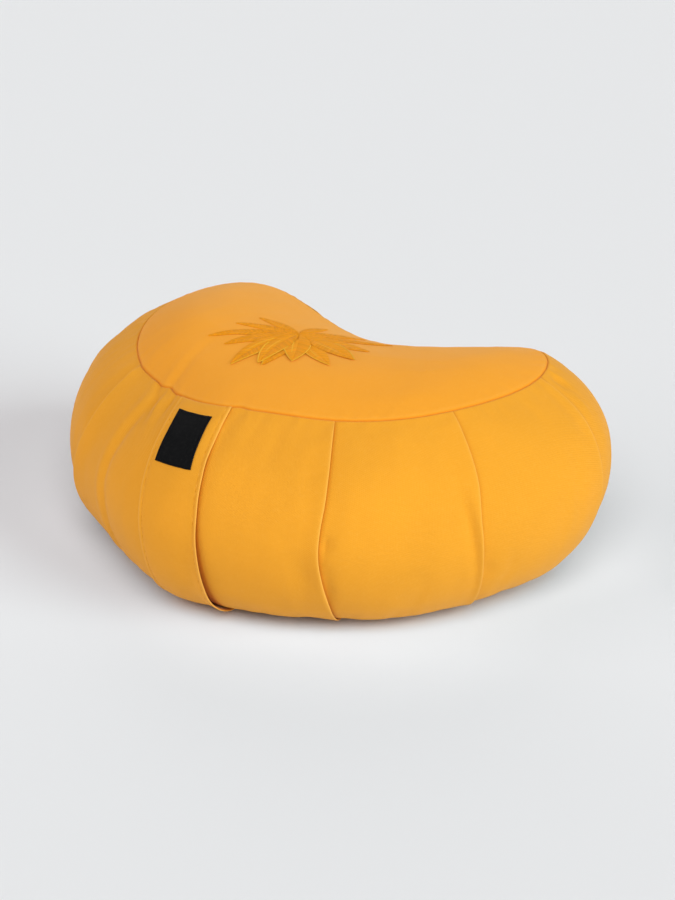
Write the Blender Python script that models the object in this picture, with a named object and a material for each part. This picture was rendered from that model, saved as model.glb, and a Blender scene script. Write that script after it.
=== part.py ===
"""A crescent meditation cushion, modelled in Blender as it is sewn.

A filled body with a pleated side band is closed by a crescent panel above and one below. A
carrying strap runs down the front of the band, and a small blank label is sewn on the strap.
Lengths are in metres. The cushion rests on Z = 0, with its heel notch towards +Y.
"""

from collections import namedtuple
from math import ceil

import bmesh
import bpy
import numpy as np

MM = 0.001

# Stations round the seam of the top panel, from the middle of the front towards the right horn.
# Each row gives the seam's place in plan, how far the side swells out beyond it, and the seam's
# height above the floor, all in millimetres.
Station = namedtuple("Station", "x y swell height")
STATIONS = (
    Station(x=-12, y=-85, swell=59, height=143),
    Station(x=71, y=-65, swell=57, height=146),
    Station(x=126, y=-20, swell=53, height=148),
    Station(x=155, y=54, swell=55, height=148),
    Station(x=135, y=109, swell=47, height=148),
    Station(x=79, y=103, swell=38, height=141),
    Station(x=4, y=79, swell=31, height=140),
    Station(x=-81, y=114, swell=38, height=144),
    Station(x=-142, y=116, swell=45, height=141),
    Station(x=-163, y=46, swell=47, height=137),
    Station(x=-128, y=-26, swell=45, height=133),
    Station(x=-74, y=-64, swell=49, height=135),
)

# Filled body
PEAK_HEIGHT = 0.159  # highest point of the crown
SIDE_ROUNDNESS = 1.09  # over 1 draws the side in a little at its top and foot
SEAM_SLOPE = 0.55  # how steeply the side starts down from the top seam
FOOT_OUTSET = 0.001  # the foot seam beyond the top seam
FOOT_FORWARD = 0.019  # the foot seam set towards the front, where the filling slumps
FOOT_SEAM_HEIGHT = 0.004
FOOT_CURL = 0.12  # outer share of the bottom panel that curls up to its seam
SPINE_HALF_LENGTH = 0.090  # the curved line along the middle of the crescent
SPINE_FRONT = 0.001
SPINE_BEND = 0.020
SPINE_SPREAD = 0.9  # how far the spine's points follow the outline's along X
INNER_RING = 0.12  # last ring of a panel, as a share of the way from its spine to its seam

# Cloth
SHEET = 0.002
GAP = 0.0003  # between pieces that are sewn together

# Knife pleats of the side band, as shares of the seam's length from the middle of the front
PLEATS = (0.091, 0.186, 0.284, 0.381, 0.478, 0.576, 0.673, 0.770, 0.867)
PLEAT_LEAN = 0.006  # shift of a pleat's foot towards the right
PLEAT_HEIGHT = 0.0026
PLEAT_RISE = 0.018
PLEAT_TROUGH = 0.0010
PLEAT_TROUGH_WIDTH = 0.012
PLEAT_FADE = 0.10  # share of the side's depth over which a pleat flattens into a seam
PLEAT_COLUMNS = (-0.018, -0.010, -0.004, 0.0, 0.0009, 0.005, 0.012)

# Carrying strap and its label
STRAP_WIDTH = 0.048
STRAP_RIGHT_EDGE = 0.001
STRAP_LEAN = 0.023
STRAP_TOP = 0.012
STRAP_FOOT = 0.975
STRAP_SLACK = 0.0035
SLACK_START = 0.35
LABEL_WIDTH = 0.032
LABEL_LENGTH = 0.045
LABEL_THICKNESS = 0.001
LABEL_TOP = 0.064

# Fineness of the meshes
SEAM_STEPS = 1440
COLUMN_SPACING = 0.016
SIDE_RINGS = 23
PANEL_RINGS = 7
STRAP_RINGS = 26
STRAP_COLUMNS = 6
LABEL_RINGS = 6
LABEL_COLUMNS = 4
PROBE = 0.002  # share of a length over which a slope is measured
ON_THE_FOLD = 1e-6
CREASE_ANGLE = 0.6  # sharper edges are shaded as creases

COTTON_COLOUR = (0.855, 0.352, 0.034, 1.0)
COTTON_ROUGHNESS = 0.86
LABEL_COLOUR = (0.011, 0.011, 0.013, 1.0)
LABEL_ROUGHNESS = 0.62


def clear_scene():
    for item in list(bpy.data.objects):
        bpy.data.objects.remove(item, do_unlink=True)


def fabric(name, colour, roughness):
    material = bpy.data.materials.new(name)
    material.use_nodes = True
    shader = material.node_tree.nodes["Principled BSDF"]
    shader.inputs["Base Color"].default_value = colour
    shader.inputs["Roughness"].default_value = roughness
    shader.inputs["Metallic"].default_value = 0.0
    material.diffuse_color = colour
    return material


def solid(name, rings, material):
    """A closed solid through rings of points, with its first and last ring filled."""
    work = bmesh.new()
    rows = [[work.verts.new(point) for point in ring] for ring in rings]
    for near, far in zip(rows, rows[1:]):
        for index in range(len(near)):
            work.faces.new((near[index - 1], near[index], far[index], far[index - 1]))
    ends = [work.faces.new(rows[0]), work.faces.new(list(reversed(rows[-1])))]
    bmesh.ops.triangulate(work, faces=ends)
    bmesh.ops.recalc_face_normals(work, faces=work.faces[:])
    mesh = bpy.data.meshes.new(name)
    work.to_mesh(mesh)
    work.free()
    mesh.shade_smooth()
    mesh.set_sharp_from_angle(angle=CREASE_ANGLE)
    piece = bpy.data.objects.new(name, mesh)
    piece.data.materials.append(material)
    bpy.context.scene.collection.objects.link(piece)
    return piece


def smooth_step(value):
    value = np.clip(value, 0.0, 1.0)
    return value * value * (3.0 - 2.0 * value)


def closed_spline(values, turns):
    """A smooth closed curve through evenly spaced values, read at shares of a turn."""
    values = np.asarray(values, float)
    count = len(values)
    after, before = np.roll(values, -1, axis=0), np.roll(values, 1, axis=0)
    identity = np.eye(count)
    chain = 4.0 * identity + np.roll(identity, 1, axis=0) + np.roll(identity, -1, axis=0)
    slopes = np.linalg.solve(chain, 3.0 * (after - before))
    steps = (np.asarray(turns) % 1.0) * count
    first = np.floor(steps).astype(int) % count
    second = (first + 1) % count
    part = steps - np.floor(steps)
    if values.ndim > 1:
        part = part[..., None]
    rest = 1.0 - part
    ends = values[first] * (1.0 + 2.0 * part) * rest**2 + values[second] * part**2 * (3.0 - 2.0 * part)
    return ends + slopes[first] * part * rest**2 - slopes[second] * part**2 * rest


def station_values(*columns):
    rows = [[getattr(station, column) * MM for column in columns] for station in STATIONS]
    return np.array(rows)


def seam_lengths():
    """Turns round the stations, and the length of seam that lies before each."""
    turns = np.linspace(0.0, 1.0, SEAM_STEPS + 1)
    steps = np.diff(closed_spline(station_values("x", "y"), turns), axis=0)
    return turns, np.concatenate(([0.0], np.cumsum(np.linalg.norm(steps, axis=1))))


TURNS, LENGTHS = seam_lengths()
SEAM_LENGTH = LENGTHS[-1]


def seam(places):
    """Plan point, outward direction, swell and height of the top seam at shares of its length."""
    turns = np.interp(np.asarray(places) % 1.0, LENGTHS / SEAM_LENGTH, TURNS)
    plan = station_values("x", "y")
    step = 1.0 / SEAM_STEPS
    along = closed_spline(plan, turns + step) - closed_spline(plan, turns - step)
    along = along / np.linalg.norm(along, axis=-1, keepdims=True)
    outward = np.stack([along[..., 1], -along[..., 0]], axis=-1)
    swell_and_height = closed_spline(station_values("swell", "height"), turns)
    return closed_spline(plan, turns), outward, swell_and_height[..., 0], swell_and_height[..., 1]


def foot_seam(points, outward):
    return points + outward * FOOT_OUTSET - np.array([0.0, FOOT_FORWARD])


def smooth_side(places, depths):
    """The side without its pleats. A depth of 0 is the top seam and 1 is the foot seam."""
    places, depths = np.broadcast_arrays(places, depths)
    points, outward, swell, height = seam(places)
    slope = SEAM_SLOPE * (1.0 - depths)
    level = np.cos(np.pi * depths) * (1.0 - slope) + slope * (1.0 - 2.0 * depths)
    fall = (1.0 - level) / 2.0
    bulge = swell * np.sin(np.pi * np.clip(depths, 0.0, 1.0)) ** SIDE_ROUNDNESS
    plan = points * (1.0 - fall)[..., None] + foot_seam(points, outward) * fall[..., None]
    plan = plan + outward * bulge[..., None]
    level = height * (1.0 - fall) + FOOT_SEAM_HEIGHT * fall
    return np.concatenate([plan, level[..., None]], axis=-1)


def side_normals(places, depths):
    """Outward normals of the smooth side."""
    inside = np.clip(depths, PROBE, 1.0 - PROBE)
    along = smooth_side(places + PROBE, inside) - smooth_side(places - PROBE, inside)
    down = smooth_side(places, inside + PROBE) - smooth_side(places, inside - PROBE)
    normals = np.cross(down, along)
    return normals / np.linalg.norm(normals, axis=-1, keepdims=True)


def lifted_side(places, depths, lift):
    places, depths = np.broadcast_arrays(places, depths)
    lift = np.broadcast_to(lift, places.shape)
    return smooth_side(places, depths) + side_normals(places, depths) * lift[..., None]


def pleat_relief(columns, depths):
    """Each pleat rises slowly to its folded edge and drops sharply into a short trough."""
    relief = np.zeros_like(columns)
    for pleat in PLEATS:
        beyond = ((columns - pleat + 0.5) % 1.0 - 0.5) * SEAM_LENGTH
        rise = PLEAT_HEIGHT * np.clip(1.0 + beyond / PLEAT_RISE, 0.0, 1.0) ** 2
        trough = -PLEAT_TROUGH * np.clip(1.0 - beyond / PLEAT_TROUGH_WIDTH, 0.0, 1.0) ** 2
        relief = relief + np.where(beyond < ON_THE_FOLD, rise, trough)
    return relief * smooth_step(depths / PLEAT_FADE) * smooth_step((1.0 - depths) / PLEAT_FADE)


def column_places():
    """Shares of the seam where the body's columns stand, closer together at each pleat."""
    places = []
    for pleat, following in zip(PLEATS, PLEATS[1:] + (PLEATS[0] + 1.0,)):
        places += [pleat + offset / SEAM_LENGTH for offset in PLEAT_COLUMNS]
        start = pleat + PLEAT_COLUMNS[-1] / SEAM_LENGTH
        end = following + PLEAT_COLUMNS[0] / SEAM_LENGTH
        count = ceil((end - start) * SEAM_LENGTH / COLUMN_SPACING)
        places += list(np.linspace(start, end, count + 1)[1:-1])
    return np.sort(np.array(places) % 1.0)


def spine(points):
    """The point on the crescent's middle line that faces each point of an outline."""
    across = np.clip(points[..., 0] * SPINE_SPREAD, -SPINE_HALF_LENGTH, SPINE_HALF_LENGTH)
    front = SPINE_FRONT + SPINE_BEND * (across / SPINE_HALF_LENGTH) ** 2
    return np.stack([across, front], axis=-1)


def crown_ring(columns, share, inset, drop):
    """A ring of the top, at a share of the way from the spine to the seam."""
    points, outward, _, height = seam(columns)
    middle = spine(points)
    plan = middle + share * (points - outward * inset - middle)
    level = PEAK_HEIGHT + share**2 * (height - PEAK_HEIGHT) - drop
    return np.column_stack([plan, level])


def base_ring(columns, share, inset, rise):
    """A ring of the underside, flat but for the curl up to its seam."""
    points, outward, _, _ = seam(columns)
    middle = foot_seam(spine(points), 0.0 * outward)
    plan = middle + share * (foot_seam(points, outward) - outward * inset - middle)
    curl = FOOT_SEAM_HEIGHT * np.clip((share - 1.0 + FOOT_CURL) / FOOT_CURL, 0.0, 1.0) ** 2
    return np.column_stack([plan, np.full(len(columns), curl + rise)])


def make_body(columns, cotton):
    """The filled body: its base, its pleated side and its crown, with a seat for each panel."""
    shares = np.linspace(INNER_RING, 1.0, PANEL_RINGS)
    base_shares = (1.0 - FOOT_CURL, 1.0 - FOOT_CURL / 2.0, 1.0)
    feet = columns + PLEAT_LEAN
    rings = [base_ring(feet, share, 0.0, SHEET + GAP) for share in base_shares]
    for depth in np.linspace(1.0, 0.0, SIDE_RINGS):
        places = columns + PLEAT_LEAN * depth
        rings.append(lifted_side(places, depth, pleat_relief(columns, depth)))
    rings[-1] = smooth_side(columns, 0.0)
    rings += [crown_ring(columns, share, 0.0, SHEET + GAP) for share in shares[::-1]]
    return solid("pleated_body", rings, cotton)


def make_top_panel(columns, cotton):
    shares = np.linspace(INNER_RING, 1.0, PANEL_RINGS)
    upper = [crown_ring(columns, share, GAP, 0.0) for share in shares]
    lower = [crown_ring(columns, share, GAP, SHEET) for share in shares[::-1]]
    return solid("top_panel", upper + lower, cotton)


def make_bottom_panel(columns, cotton):
    shares = (1.0 - FOOT_CURL, 1.0 - FOOT_CURL / 2.0, 1.0)
    lower = [base_ring(columns, share, GAP, 0.0) for share in shares]
    upper = [base_ring(columns, share, GAP, SHEET) for share in shares[::-1]]
    return solid("bottom_panel", lower + upper, cotton)


def strap_place(offset, depth):
    """The share of the seam that lies an offset to the right of the strap's middle line."""
    edge = STRAP_RIGHT_EDGE + STRAP_LEAN * depth
    stretch = smooth_side(edge + PROBE, depth) - smooth_side(edge - PROBE, depth)
    per_metre = 2.0 * PROBE / np.linalg.norm(stretch)
    return edge + (offset - STRAP_WIDTH / 2.0) * per_metre


def strap_lift(depth):
    """The strap lies on the side at its ends and hangs a little slack below its middle."""
    sag = np.sin(np.pi * np.clip((depth - SLACK_START) / (1.0 - SLACK_START), 0.0, 1.0)) ** 2
    return GAP + STRAP_SLACK * sag


def strip(name, depths, width, columns, lift, thickness, material):
    """A flat strip sewn along the strap's line, as wide as it is cut."""
    offsets = np.linspace(-width / 2.0, width / 2.0, columns)
    rings = []
    for depth in depths:
        places = strap_place(offsets, depth)
        inner = lifted_side(places, depth, strap_lift(depth) + lift)
        outer = lifted_side(places, depth, strap_lift(depth) + lift + thickness)
        rings.append(np.concatenate([inner, outer[::-1]]))
    return solid(name, rings, material)


def label_foot():
    """The depth at which the label's length has been used up, down the strap's middle line."""
    depths = np.linspace(LABEL_TOP, 1.0, SEAM_STEPS)
    line = np.array([smooth_side(strap_place(0.0, depth), depth) for depth in depths])
    lengths = np.concatenate(([0.0], np.cumsum(np.linalg.norm(np.diff(line, axis=0), axis=1))))
    return np.interp(LABEL_LENGTH, lengths, depths)


def make_strap(cotton):
    depths = np.linspace(STRAP_TOP, STRAP_FOOT, STRAP_RINGS)
    return strip("handle_strap", depths, STRAP_WIDTH, STRAP_COLUMNS, 0.0, SHEET, cotton)


def make_label(woven):
    depths = np.linspace(LABEL_TOP, label_foot(), LABEL_RINGS)
    return strip("label", depths, LABEL_WIDTH, LABEL_COLUMNS, SHEET + GAP, LABEL_THICKNESS, woven)


def main():
    clear_scene()
    columns = column_places()
    make_body(columns, fabric("Marigold cotton, side", COTTON_COLOUR, COTTON_ROUGHNESS))
    make_top_panel(columns, fabric("Marigold cotton, top", COTTON_COLOUR, COTTON_ROUGHNESS))
    make_bottom_panel(columns + PLEAT_LEAN, fabric("Marigold cotton, base", COTTON_COLOUR, COTTON_ROUGHNESS))
    make_strap(fabric("Marigold cotton, strap", COTTON_COLOUR, COTTON_ROUGHNESS))
    make_label(fabric("Black woven label", LABEL_COLOUR, LABEL_ROUGHNESS))


main()
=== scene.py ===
"""Looks of a crescent meditation cushion in marigold cotton twill.

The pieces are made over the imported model, in metres: the pleated side cover, the crown and base
panels, the carrying strap and its bare label, their stitches, and a satin-stitched lotus. The
forms repeat the named sizes of the CAD part and add the folds, seams and thread that it leaves out.
"""

from collections import namedtuple

import bmesh
import bpy
import numpy as np
from bpy.props import FloatProperty, FloatVectorProperty, IntProperty, PointerProperty
from bpy.types import Operator, Panel, PropertyGroup
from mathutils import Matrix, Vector
from mathutils.kdtree import KDTree


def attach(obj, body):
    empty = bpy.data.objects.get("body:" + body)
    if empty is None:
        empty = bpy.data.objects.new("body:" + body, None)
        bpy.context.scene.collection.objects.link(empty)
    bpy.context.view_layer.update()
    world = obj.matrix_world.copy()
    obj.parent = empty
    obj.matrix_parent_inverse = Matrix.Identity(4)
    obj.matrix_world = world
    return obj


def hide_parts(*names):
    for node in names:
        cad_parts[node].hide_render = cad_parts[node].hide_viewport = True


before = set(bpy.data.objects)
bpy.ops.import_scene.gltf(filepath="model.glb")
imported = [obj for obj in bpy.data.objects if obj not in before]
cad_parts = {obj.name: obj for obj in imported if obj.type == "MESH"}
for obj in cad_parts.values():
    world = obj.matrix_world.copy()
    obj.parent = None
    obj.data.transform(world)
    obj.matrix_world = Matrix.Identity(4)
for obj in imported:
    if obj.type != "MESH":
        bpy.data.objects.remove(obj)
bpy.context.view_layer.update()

bl_info = {
    "name": "Crescent meditation cushion",
    "version": (1, 0, 0),
    "blender": (4, 5, 0),
    "location": "View3D > Sidebar > Cushion",
    "description": "Makes the cloth, stitching and embroidery of a crescent meditation cushion",
    "category": "Add Mesh",
}

MM = 0.001
BODY = "root"

# Stations round the seam of the crown panel, in millimetres, as in the CAD part
Station = namedtuple("Station", "x y swell height")
STATIONS = [Station(*row) for row in (
    (-12, -85, 59, 143), (71, -65, 57, 146), (126, -20, 53, 148), (155, 54, 55, 148),
    (135, 109, 47, 148), (79, 103, 38, 141), (4, 79, 31, 140), (-81, 114, 38, 144),
    (-142, 116, 45, 141), (-163, 46, 47, 137), (-128, -26, 45, 133), (-74, -64, 49, 135),
)]

# Filled form, as in the CAD part
PEAK_HEIGHT = 0.159
SIDE_ROUNDNESS = 1.09
SEAM_SLOPE = 0.55
FOOT_OUTSET = 0.001
FOOT_FORWARD = 0.019
FOOT_SEAM_HEIGHT = 0.004
FOOT_CURL = 0.12
SPINE_HALF_LENGTH = 0.090
SPINE_FRONT = 0.001
SPINE_BEND = 0.020
SPINE_SPREAD = 0.9
INNER_RING = 0.12
SHEET = 0.002
GAP = 0.0003
SEAM_STEPS = 1440
PANEL_STEPS = 360
PROBE = 0.002
SIDE_LENGTH = 0.205  # cloth from the top seam down to the foot seam
SIDE_GIRTH = 1.12  # cloth round the side at its widest

# Knife pleats: the path of each folded edge from the top seam to the foot seam, the share of the
# fold table's height, how much further it stands off about one depth, and the side that it faces
Pleat = namedtuple("Pleat", "path height gape gape_depth faces")
Spot = namedtuple("Spot", "depth place")
PLEATS = (
    Pleat(
        path=(
            Spot(0.0, 0.0902), Spot(0.10, 0.0914), Spot(0.22, 0.0927), Spot(0.33, 0.0928), Spot(0.43, 0.0915),
            Spot(0.52, 0.0918), Spot(0.60, 0.0945), Spot(0.75, 0.1004), Spot(0.89, 0.1051), Spot(1.0, 0.1085),
        ),
        height=1.15, gape=0.7, gape_depth=0.56, faces=1,
    ),
    Pleat(
        path=(
            Spot(0.0, 0.1856), Spot(0.15, 0.1858), Spot(0.30, 0.1860), Spot(0.44, 0.1853), Spot(0.50, 0.1866),
            Spot(0.59, 0.1892), Spot(0.68, 0.1928), Spot(0.78, 0.1968), Spot(0.88, 0.2015), Spot(1.0, 0.2070),
        ),
        height=1.2, gape=1.7, gape_depth=0.60, faces=1,
    ),
    Pleat(
        path=(
            Spot(0.0, 0.2840), Spot(0.20, 0.2862), Spot(0.40, 0.2850), Spot(0.70, 0.2885), Spot(1.0, 0.2940),
        ),
        height=1.1, gape=0.0, gape_depth=0.5, faces=1,
    ),
    Pleat(
        path=(Spot(0.0, 0.3810), Spot(0.35, 0.3822), Spot(0.65, 0.3845), Spot(1.0, 0.3870)),
        height=1.1, gape=0.3, gape_depth=0.5, faces=1,
    ),
    Pleat(
        path=(Spot(0.0, 0.4780), Spot(0.35, 0.4790), Spot(0.65, 0.4805), Spot(1.0, 0.4830)),
        height=1.0, gape=0.2, gape_depth=0.4, faces=1,
    ),
    Pleat(
        path=(Spot(0.0, 0.5760), Spot(0.35, 0.5752), Spot(0.65, 0.5780), Spot(1.0, 0.5815)),
        height=0.3, gape=0.9, gape_depth=0.6, faces=-1,
    ),
    Pleat(
        path=(Spot(0.0, 0.6730), Spot(0.35, 0.6738), Spot(0.65, 0.6755), Spot(1.0, 0.6780)),
        height=1.0, gape=0.2, gape_depth=0.5, faces=-1,
    ),
    Pleat(
        path=(Spot(0.0, 0.7700), Spot(0.35, 0.7712), Spot(0.65, 0.7725), Spot(1.0, 0.7745)),
        height=0.8, gape=0.2, gape_depth=0.5, faces=-1,
    ),
    Pleat(
        path=(
            Spot(0.0, 0.8620), Spot(0.15, 0.8680), Spot(0.30, 0.8710), Spot(0.45, 0.8670), Spot(0.58, 0.8610),
            Spot(1.0, 0.8470),
        ),
        height=1.9, gape=0.0, gape_depth=0.3, faces=-1,
    ),
)

# A pleat across its fold, in millimetres: to the right of the folded edge, off the side, and
# whether the point is on the tuck, which draws together where the pleat runs into a seam
Fold = namedtuple("Fold", "along lift tucked")
FOLD = [Fold(*row) for row in (
    (-18.00, 0.00, 0), (-14.00, 0.05, 0), (-11.00, 0.16, 0), (-8.00, 0.34, 0), (-5.50, 0.58, 0),
    (-3.50, 0.82, 0), (-2.20, 1.00, 0), (-1.20, 1.13, 0), (-0.60, 1.18, 1), (-0.16, 1.13, 1),
    (0.12, 0.99, 1), (0.22, 0.80, 1), (0.12, 0.62, 1), (-0.16, 0.50, 1), (-0.90, 0.44, 1),
    (-2.60, 0.36, 1), (-4.60, 0.26, 1), (-5.40, 0.14, 1), (-5.30, -0.02, 1), (-4.40, -0.10, 1),
    (-2.40, -0.15, 1), (-0.60, -0.21, 1), (0.40, -0.27, 1), (1.40, -0.36, 0), (3.00, -0.44, 0),
    (5.00, -0.42, 0), (8.00, -0.26, 0), (11.50, -0.08, 0), (15.00, 0.00, 0),
)]
FOLD_EDGE = 10  # the row of FOLD that is the folded edge itself
TUCK_LEAST = 0.06  # what is left of a tuck at a seam
TUCK_FADE = 0.07  # share of the side's depth over which a tuck opens
GAPE_SPREAD = 0.16  # share of the side's depth over which a pleat gapes
CREASE_SHADES = {2: 0.3, 12: 0.9, 13: 0.4, 14: 0.05}  # rows past the edge that are in its shade
SEAM_SHADE = 0.0008  # half width of the painted shade along a seam

# Soft dents and ridges: their middle, half width along and down the side, and height, with
# lengths in millimetres, and how far each leans to the right over the whole side
Dent = namedtuple("Dent", "place depth along down lift lean")
DENTS = [Dent(*row) for row in (
    (-0.0625, 0.05, 2.8, 20, -2.0, 0.10), (-0.0730, 0.06, 3.4, 20, 1.7, 0.12),
    (-0.0850, 0.06, 4.0, 21, -2.0, 0.15), (-0.0980, 0.05, 5.0, 20, 0.8, 0.10),
    (-0.1080, 0.30, 11.0, 44, -0.5, 0.03), (-0.0850, 0.42, 16.0, 50, 0.2, 0.03),
    (0.0960, 0.475, 2.2, 7, -2.3, 0.00), (0.0990, 0.530, 2.2, 5, 0.8, 0.00),
    (0.0990, 0.66, 3.0, 18, -1.3, 0.02), (0.0850, 0.60, 6.0, 34, -0.8, 0.02),
    (0.1795, 0.46, 3.8, 44, -3.5, 0.04), (0.1640, 0.60, 9.0, 50, 0.7, 0.02),
    (0.1960, 0.64, 3.0, 9, -0.9, 0.02), (0.2780, 0.16, 4.0, 26, -0.9, 0.01),
    (0.2950, 0.20, 1.5, 36, 1.8, 0.02), (0.2990, 0.08, 3.0, 9, -3.6, 0.00),
    (0.4300, 0.30, 12.0, 30, -0.7, 0.02), (0.5250, 0.40, 10.0, 34, -0.8, -0.02),
    (0.6200, 0.35, 11.0, 36, -0.7, 0.02), (-0.1750, 0.12, 2.6, 30, -0.6, 0.03),
    (-0.1900, 0.14, 3.0, 30, 0.5, 0.03),
)]

# Broad fullness at the foot of the side, which the strap on it follows
SWELLS = [Dent(*row) for row in (
    (0.0100, 0.84, 85.0, 26, 3.0, 0.00), (0.1600, 0.84, 60.0, 26, 1.4, 0.00),
    (0.2650, 0.78, 30.0, 26, 2.2, 0.00),
)]

# Places where the cloth pulls the top seam inwards and up, in millimetres, and half the length
# of seam that moves
Nick = namedtuple("Nick", "place inward rise spread")
NICKS = [Nick(*row) for row in (
    (-0.0790, 1.8, 0.0, 0.0050), (-0.0905, -0.6, 0.0, 0.0050), (0.0090, 1.6, 0.3, 0.0070),
    (0.0240, 2.2, 1.6, 0.0500), (-0.1330, -0.8, 0.0, 0.0080),
)]

SEAM_WANDER = 0.0001

# Spacing of the side's columns, and where they are closer: from and to a place, and how many
COLUMN_STEP = 0.0022
COLUMN_GAP = 0.0002
STRAP_COLUMNS = (-0.006, 0.034, 46)
PUCKER_COLUMNS = (0.290, 0.3035, 16)

# Carrying strap, as in the CAD part
STRAP_WIDTH = 0.048
STRAP_RIGHT_EDGE = 0.0026
STRAP_LEAN = 0.0225
STRAP_TOP = 0.0035
STRAP_FOOT = 0.975
STRAP_SLACK = 0.0035
SLACK_START = 0.35
STRAP_FLARE = 0.18  # share by which the strap's left half spreads at the top seam
STRAP_FLARE_DEPTH = 0.12
LABEL_LENGTH = 0.045
LABEL_TOP = 0.069
LABEL_SHIFT = -0.0013  # the label's middle line from the strap's

# The strap and the label across, in millimetres from the middle line to the right edge, and the
# height of the face above the back
Section = namedtuple("Section", "across rise")
STRAP_SECTION = [Section(*row) for row in (
    (0.0, 1.40), (6.0, 1.40), (12.0, 1.38), (17.0, 1.34), (19.4, 1.28), (20.4, 1.10), (20.8, 1.02),
    (21.2, 1.12), (22.0, 1.22), (23.0, 1.34), (23.6, 1.24), (23.95, 1.05), (24.0, 0.72),
    (23.85, 0.32), (23.3, 0.05), (20.0, 0.0), (10.0, 0.0),
)]
LABEL_SECTION = [Section(*row) for row in (
    (0.0, 0.52), (6.0, 0.52), (11.2, 0.54), (12.0, 0.78), (13.0, 0.80), (13.9, 0.66), (14.5, 0.80),
    (15.1, 0.70), (15.4, 0.40), (15.2, 0.05), (11.5, 0.0),
)]
STRAP_FACE = 0.00102  # height of the strap along its stitches
LABEL_SEAT = 0.00148  # the label above the strap's back
STRAP_STITCH_ACROSS = 0.0208
LABEL_STITCH_ACROSS = 0.0139
LABEL_STITCH_INSET = 0.0015
LABEL_STITCH = {"Pitch": 0.0021, "Length": 0.0018, "Width": 0.0004}
THREAD_WANDER = 0.00008
STRAP_WORN_FROM = 0.0226  # distance from the middle line from which the edge shows wear
LABEL_WORN_FROM = 0.0146
STRAP_CURL = 0.0013  # how far the strap's right edge curls up
STRAP_LIFT = 0.0014  # how far its right edge stands off more, low down
LABEL_FACE = 0.00076  # height of the label along its stitches

# Lotus petals, back ones first. Angles are in degrees from the flower's own upward direction,
# lengths in millimetres, and the curl bends the tip to the side
Petal = namedtuple("Petal", "angle length width curl start level")
PETALS = [Petal(*row) for row in (
    (-158, 34, 9, 5, 1, 0), (140, 44, 9, -9, 1, 0), (-121, 50, 10, 9, 1, 0), (112, 52, 9, -6, 1, 0),
    (-95, 70, 10, 5, 1, 1), (91, 68, 10, -8, 1, 1), (-74, 60, 15, 9, 1, 1), (72, 57, 13, -4, 1, 1),
    (-25, 62, 15, -4, 4, 2), (14, 58, 14, 5, 4, 2), (-53, 63, 17, 7, 1, 3), (49, 66, 17, -11, 1, 3),
    (-7, 50, 19, 4, 0, 4), (31, 56, 16, -8, 1, 4),
)]
LOTUS_PLACE = (-0.020, 0.024)
LOTUS_TURN = -66.7  # direction in plan of the flower's upward side, in degrees
PETAL_STEPS = 48
RIM_SIDES = ((), (), (1.0,), (-1.0,), (-1.0, 1.0))  # edges with a light rim, by the petal's level; the light rim thread is a painted highlight for the satin's sheen
VEIN_SIDE = 0.35  # where the light vein of a front petal runs, as a share of half its width
LEVEL_RISE = 0.00014
LEAST_STITCH = 0.0007  # shorter satin stitches are left out
DROP_HEIGHT = 0.3  # height from which the threads are dropped on the crown
RIM_THREAD = {"Width": 0.0009, "Loft": 0.0001, "Points": 28, "Wander": 0.00004}

# Simulation of the filling
FILLING = {}  # the filled form's points and how far each was pushed, once it has run
FILLING_VOXEL = 0.005
FILLING_FRAMES = 20
FILLING_CAP = 0.004  # no point of the cloth moves further
FILLING_REACH = 0.032  # over this distance the push is averaged, and the average is left out
FILLING_SKIP = 12
PLEAT_HOLD = 0.7  # how firmly a pleat holds the cloth, where a seam holds it fully
HOLD_REACH = 0.004
FLOOR_HOLD = 0.003  # below this height the cloth stays where it is
CROWN_LEAST = 0.1  # above this height, inside the seam, the cloth belongs to the crown
SIDE_PUSH = 0.26  # share of the rest that the side takes
CROWN_PUSH = 0.10  # share that the crown takes, upwards only

# Camera, as found from the photograph's outline
VIEW_AZIMUTH = 31.05
VIEW_ELEVATION = 25.21
VIEW_DISTANCE = 2.330
VIEW_TARGET = (0.0091, 0.0296, 0.070)
VIEW_LENS = 126.3

# Floor and sky
FLOOR_RADIUS = 14.0
SKY_COLOUR = (0.985, 0.99, 1.0, 1.0)

# What the cotton throws on the floor, and the distances between which it turns to that
THROWN_COLOUR = (0.62, 0.60, 0.58, 1.0)
THROWN_NEAR = 0.004
THROWN_FAR = 0.012

# Soft lights: the direction each comes from, in degrees from the right side and from the floor, its
# strength, and its red as a share of its green and blue
SoftLight = namedtuple("SoftLight", "name azimuth elevation strength red")
SOFT_LIGHTS = [SoftLight(*row) for row in (
    ("Key light", 0, 24, 2.15, 0.86), ("Front light", -60, 50, 1.63, 0.98),
    ("Left fill", -140, 24, 0.88, 1.0), ("Back fill", 120, 26, 0.60, 1.0),
)]


def length_property(name, description, default, low, high):
    return FloatProperty(
        name=name, description=description, default=default, min=low, max=high, unit="LENGTH",
    )


def share_property(name, description, default, low, high):
    return FloatProperty(
        name=name, description=description, default=default, min=low, max=high, subtype="FACTOR",
    )


def colour_property(name, description, default):
    return FloatVectorProperty(
        name=name, description=description, default=(*default, 1.0), size=4, min=0.0, max=1.0,
        subtype="COLOR",
    )


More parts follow.
